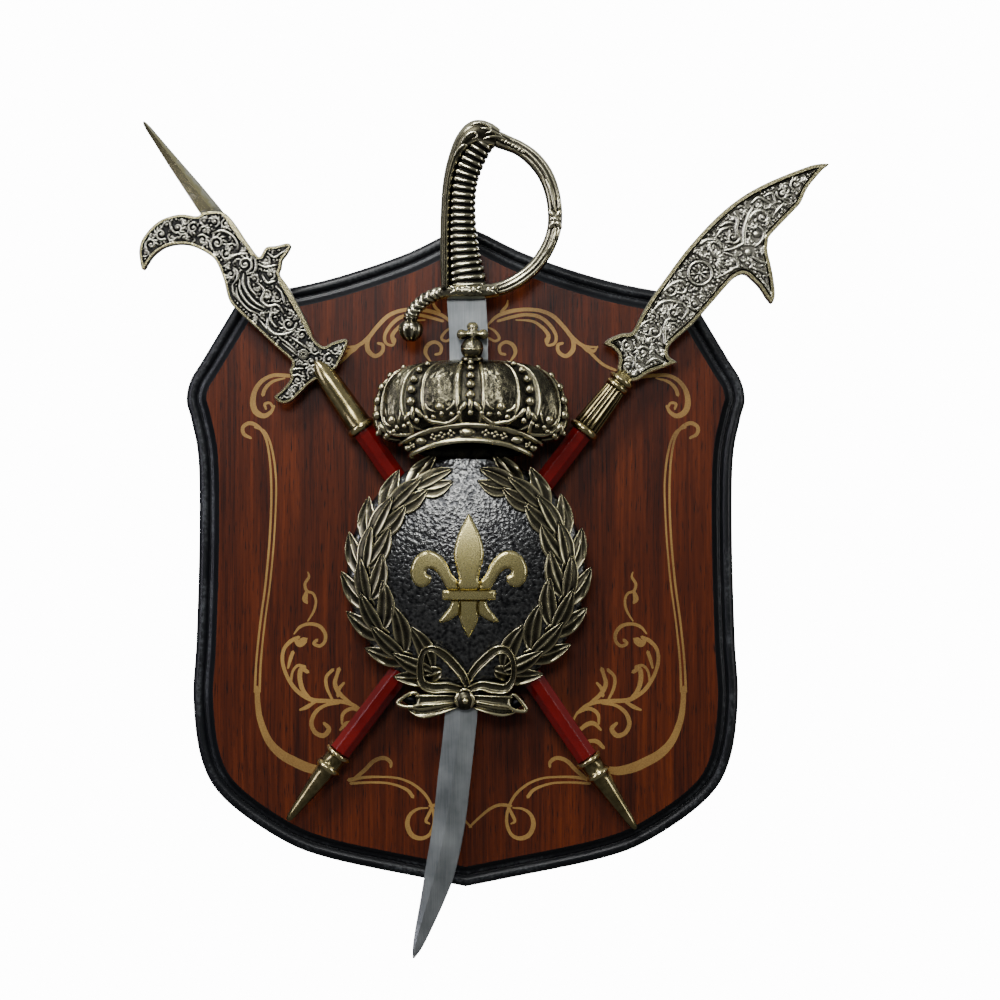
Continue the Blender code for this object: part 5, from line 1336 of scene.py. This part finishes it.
RIGHT_MOUTH = [(19.4, -61.0), (21.4, -60.2), (24.2, -62.6), (27.2, -67.0), (24.4, -67.6), (21.0, -66.6),
               (19.4, -64.6)]
bow = [sweep(LEFT_TAIL, ribbon_section(1)), sweep(RIGHT_TAIL, ribbon_section(1)),
       sweep(LEFT_ARM, ribbon_section(0)), sweep(RIGHT_ARM, ribbon_section(0)),
       sweep(LEFT_LOOP, ribbon_section(0), 9), sweep(RIGHT_LOOP, ribbon_section(0), 9)]
for mouth in (LEFT_MOUTH, RIGHT_MOUTH):
    lip = [(x, up, 17.6 - 0.10 * (abs(x) - 20.0)) for x, up in mouth]
    bow.append(bead_line(lip + [lip[0]], 0.85, 10, 1.0))
    middle = np.mean(lip, 0)
    # A near-black filler inside each mouth: painted shade in the opening.
    bow.append(ball((middle[0], middle[1], 14.6), (4.3, 2.5, 2.2), 0.05, 22.0 if middle[0] < 0 else -30.0))
bow += [ball((-0.1, -62.4, 17.2), (4.9, 4.8, 3.4), 0.35, 0.0, 10, 20),
        ball((0.2, -62.8, 20.4), (1.5, 1.5, 1.3), 1.0),
        bead_line([(-2.6, -59.0, 19.2), (-3.9, -62.0, 19.6), (-2.8, -65.6, 19.0)], 0.75, 8, 0.9),
        bead_line([(2.2, -58.8, 19.4), (3.8, -62.2, 19.8), (2.6, -66.0, 19.0)], 0.85, 8, 1.0),
        bead_line([(-2.4, -58.6, 19.3), (0.0, -57.8, 19.5), (2.4, -58.6, 19.3)], 0.7, 8, 0.9)]
# A block from the board up under the bow, near-black all over: painted shade behind the bow and its tails.
shade_pad = [(0.4, -44.0, 11.0, 14.0), (0.2, -58.0, 9.0, 14.0), (0.0, -67.5, 5.0, 13.0)]


def shade_block_section(t, half, deep):
    c, s = turned_round(24)
    return half * flattened(c, 0.6), deep / 2 * (1 + flattened(s, 0.6)) + 0.3, np.full(24, 0.1)


bow.append(sweep(shade_pad, shade_block_section))

# Crown: part of the same casting, flattened like a relief. A stuffed cap swells between five pearled
# arches over a jewelled band; an orb with a cross stands on top, in front of the blade.
# Profiles: height on the crown's own axis, radius.
CROWN_AT = (2.6, 69.2)
CROWN_AXIS = 15.0
CROWN_TILT = 12.0
CROWN_FLAT = 0.36
CROWN_DROOP = 8.0
CROWN_SIDE = [(-11.9, 29.6), (-11.4, 31.6), (-9.4, 35.8), (-6.2, 39.6), (-2.0, 41.6), (3.0, 41.6),
              (8.0, 39.6), (12.0, 35.4), (15.4, 28.4), (17.4, 19.0), (18.2, 9.0), (18.5, 0.3)]
BAND_SIDE = [(-20.9, 25.4), (-20.8, 26.7), (-20.0, 27.6), (-19.1, 27.5), (-18.5, 26.6), (-18.2, 25.9),
             (-16.8, 26.6), (-15.2, 28.0), (-14.5, 29.2), (-14.2, 30.2), (-13.7, 31.6), (-13.1, 32.1),
             (-12.5, 31.8), (-12.1, 30.6), (-11.8, 29.0)]
BAND_MIDDLE = -16.4
ARCHES = (-76.0, -38.0, 0.0, 38.0, 76.0)
ARCH_HALF = 7.6
side_line = through(CROWN_SIDE, 6)


def crown_point(azimuth, high, out=0.0, radius=None):
    """A place on the crown: degrees round it, height on its own axis, distance out from its side."""
    azimuth, high, out = np.broadcast_arrays(np.radians(azimuth), np.asarray(high, float),
                                             np.asarray(out, float))
    if radius is None:
        radius = np.interp(high, side_line[:, 0], side_line[:, 1])
    size = radius + out
    x = size * np.sin(azimuth)
    depth = CROWN_FLAT * radius * np.cos(azimuth) + out * np.clip(np.cos(azimuth), 0.0, 1)
    tilt = math.radians(-CROWN_TILT)
    up = high * math.cos(tilt) - depth * math.sin(tilt)
    front = high * math.sin(tilt) + depth * math.cos(tilt)
    share = np.clip((14.0 - up) / 26.0, 0, 1)
    up = up - CROWN_DROOP * share * (x / 35.0) ** 2
    return np.stack([CROWN_AT[0] + x, CROWN_AT[1] + up, CROWN_AXIS + front], -1)


def crown_skin(line, relief, count=300):
    """The front half and a little more of a band of the crown, with relief out from its side."""
    azimuth = np.linspace(-112, 112, count)
    grid_h, grid_a = np.meshgrid(line[:, 0], azimuth, indexing="ij")
    radius = np.repeat(line[:, 1:2], count, 1)
    out, wear_and_painted_light = relief(grid_a, grid_h)
    spots = crown_point(grid_a, grid_h, out, radius)
    spots[..., 2] = np.maximum(spots[..., 2], 1.0)
    rows = len(line)
    faces = [(i * count + k, i * count + k + 1, (i + 1) * count + k + 1, (i + 1) * count + k)
             for i in range(rows - 1) for k in range(count - 1)]
    return spots.reshape(-1, 3), faces, wear_and_painted_light.ravel()


def cap_relief(azimuth, high):
    """Rims of the arches, sunk lanes for the pearls, and stippled cloth that swells between them."""
    out = np.zeros_like(azimuth)
    wear_and_painted_light = np.full_like(azimuth, 0.42)
    nearest = np.min([np.abs(azimuth - a) for a in ARCHES], axis=0)
    rim = np.exp(-((nearest - ARCH_HALF) / 1.25) ** 2)
    lane = 1 - 1 / (1 + np.exp(-(nearest - ARCH_HALF) / 0.5))
    cloth = np.clip((nearest - ARCH_HALF - 1.5) / 10, 0, 1)
    stipple = lumps(azimuth * 0.62, high, 0.9, 11)
    top = np.clip((19.3 - high) / 5, 0, 1)
    out += 1.1 * rim * top - 0.4 * lane * top + (1.2 * np.sqrt(cloth) + 0.45 * stipple * (cloth > 0.02)) * top
    wear_and_painted_light += 0.6 * rim - 0.1 * lane + cloth * 0.16 * stipple
    return out, np.clip(wear_and_painted_light, 0.02, 1)


def band_relief(azimuth, high):
    stipple = lumps(azimuth * 0.5, high, 0.8, 13)
    ledge = np.clip((np.abs(high - BAND_MIDDLE) - 1.7) / 0.4, 0, 1)
    return 0.3 * stipple * (1 - ledge), 0.22 + 0.6 * ledge + 0.2 * stipple * (1 - ledge)


def pearl(azimuth, high, size, out=0.3, tall=1.0, level=1.0, lean=0.0):
    return ball(tuple(crown_point(azimuth, high, out)), (size, size * tall, size * 0.85), level, lean, 7, 12)


def crown_wire(knots, size):
    return bead_line([tuple(crown_point(a, h, o)) for a, h, o in knots], size, 8, 0.95)


crown = [crown_skin(side_line, cap_relief, 420), crown_skin(through(BAND_SIDE, 3), band_relief)]
for arch in ARCHES:
    outer = abs(arch) > 60
    for high, size in ((14.8, 1.35), (11.6, 1.65), (7.8, 1.95), (3.6, 2.15), (-1.0, 2.25)):
        crown.append(pearl(arch, high, size, 0.6, 1.0, 0.8))
    for lean, far, long in ((0, 0.0, 3.6), (-38, -5.2, 3.2), (38, 5.2, 3.2)):
        crown.append(pearl(arch + far * 0.85, -5.4 - 0.12 * abs(far), 1.25, 0.9, long * 0.68, 1.0, -lean))
    crown.append(pearl(arch, -8.6, 1.4, 1.0))
    for far in (-7.4, 7.4):
        crown.append(pearl(arch + far, -8.6, 1.2, 0.8))
for low, high in zip(ARCHES, ARCHES[1:]):
    middle = (low + high) / 2
    crown.append(crown_wire([(low + 5.0, -6.6, 0.5), (low + 8.0, -9.6, 0.9), (middle - 5.0, -11.4, 1.1),
                             (middle, -12.0, 1.2), (middle + 5.0, -11.4, 1.1), (high - 8.0, -9.6, 0.9),
                             (high - 5.0, -6.6, 0.5)], 1.0))
    crown.append(pearl(middle, -5.2, 2.1, 0.8, 1.0))
    crown.append(pearl(middle, -8.2, 1.1, 1.0, 1.3))
    for far in (-6.4, 6.4):
        crown.append(pearl(middle + far, -8.8, 1.3, 0.9, 0.9))
        crown.append(crown_wire([(middle + far * 1.5, -2.6, 0.3), (middle + far * 1.2, -5.4, 0.7),
                                 (middle + far * 0.5, -7.2, 0.9)], 0.6))


def on_band(azimuth, high, out):
    radius = np.interp(high, [p[0] for p in BAND_SIDE], [p[1] for p in BAND_SIDE])
    return tuple(crown_point(azimuth, high, out, radius))


# Jewels of the band, narrower towards its sides, with crosses of small beads between them.
for azimuth in (-84.0, -52.0, 48.0, 84.0):
    wide = 3.7 * max(0.5, math.cos(math.radians(azimuth))) + 0.6
    crown.append(ball(on_band(azimuth, BAND_MIDDLE, 0.3), (wide, 1.8, 1.5), 0.8))
crown.append(ball(on_band(-3.0, BAND_MIDDLE, 0.2), (3.8, 1.9, 1.4), 0.8, 0.0, 8, 16))
for azimuth in (-68, -36, -27, -18, 14, 23, 32, 66):
    for da, dh in ((0, 1.0), (0, -1.0), (2.6, 0), (-2.6, 0)):
        crown.append(ball(on_band(azimuth + da, BAND_MIDDLE + dh, 0.45), (0.8, 0.8, 0.75), 0.85, 0.0, 5, 8))
# The foot that joins the crown to the disc, kept dark as painted shade in the gap under the band; then the
# orb with its hoops and the cross.
crown.append(ball((2.4, 47.6, 13.4), (25.0, 4.4, 3.0), 0.22, 0.0, 10, 40))
ORB = (3.2, 92.2, 21.5)
crown.append(ball((ORB[0], 87.6, 20.2), (5.0, 2.0, 3.2), 0.8))
crown.append(ball(ORB, (5.1, 4.9, 4.9), 0.6, 0.0, 16, 30))
for size, knots in ((0.55, ((-4.9, 0.0, 0.6), (-2.6, -0.4, 4.2), (2.6, -0.4, 4.2), (4.9, 0.0, 0.6))),
                    (0.5, ((0.0, -0.2, 4.7), (0.0, 2.8, 3.9), (0.0, 4.6, 1.6)))):
    crown.append(bead_line([tuple(np.add(ORB, knot)) for knot in knots], size, 8, 1.0))
CROSS_HALF = [(0.0, -4.2), (1.9, -4.0), (1.8, -2.2), (2.4, -1.8), (3.8, -2.3), (5.6, -2.3), (6.8, -1.3),
              (6.9, 0.2), (6.0, 1.6), (4.4, 1.9), (2.9, 1.4), (2.1, 1.7), (2.5, 2.9), (2.3, 4.0), (1.3, 4.9),
              (0.0, 5.1)]
crown.append(raised_shape(mirrored(CROSS_HALF, (3.4, 98.8)), 16.5, 22.8, 1.7, 0.4))

antique = cast_metal("antique_brass", (0.010, 0.010, 0.011), (0.105, 0.096, 0.060), (0.68, 0.615, 0.36),
                     (0.34, 0.18), 0.05)
dark_antique = cast_metal("crown_brass", (0.008, 0.008, 0.009), (0.066, 0.061, 0.040), (0.66, 0.60, 0.36),
                          (0.33, 0.17), 0.25)
brushed = cast_metal("brushed_brass", (0.24, 0.195, 0.075), (0.50, 0.425, 0.165), (0.74, 0.65, 0.30),
                     (0.33, 0.25), 0.03)


def hammered_metal(name):
    """Dark polished patina over a beaten, pebbly surface."""
    made, tree, place = new_finish(name)
    pebble = noise(tree, place, 640.0, 1.5)
    shine = spread(tree, noise(tree, place, 60.0, 3.0), 0.20, 0.30)
    colour = tones(tree, pebble, (0.34, (0.030, 0.031, 0.033)), (0.70, (0.19, 0.192, 0.186)))
    surface(tree, {"Base Color": colour, "Metallic": 1.0, "Roughness": shine,
                   "Normal": dents(tree, pebble, 0.5, 0.0007).outputs[0]})
    return made


hammered = hammered_metal("hammered_metal")
for name, part, finish in (("boss_dome", dome, hammered), ("boss_wreath", gather(wreath), antique),
                           ("boss_lily", lily, brushed), ("boss_bow", gather(bow), antique),
                           ("boss_crown", gather(crown), dark_antique)):
    piece = make(name, on_plaque(part[0]), part[1], finish, True, part[2])
    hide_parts("boss")
    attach(piece, "root")
bpy.data.objects["boss_lily"].data.set_sharp_from_angle(angle=math.radians(35))
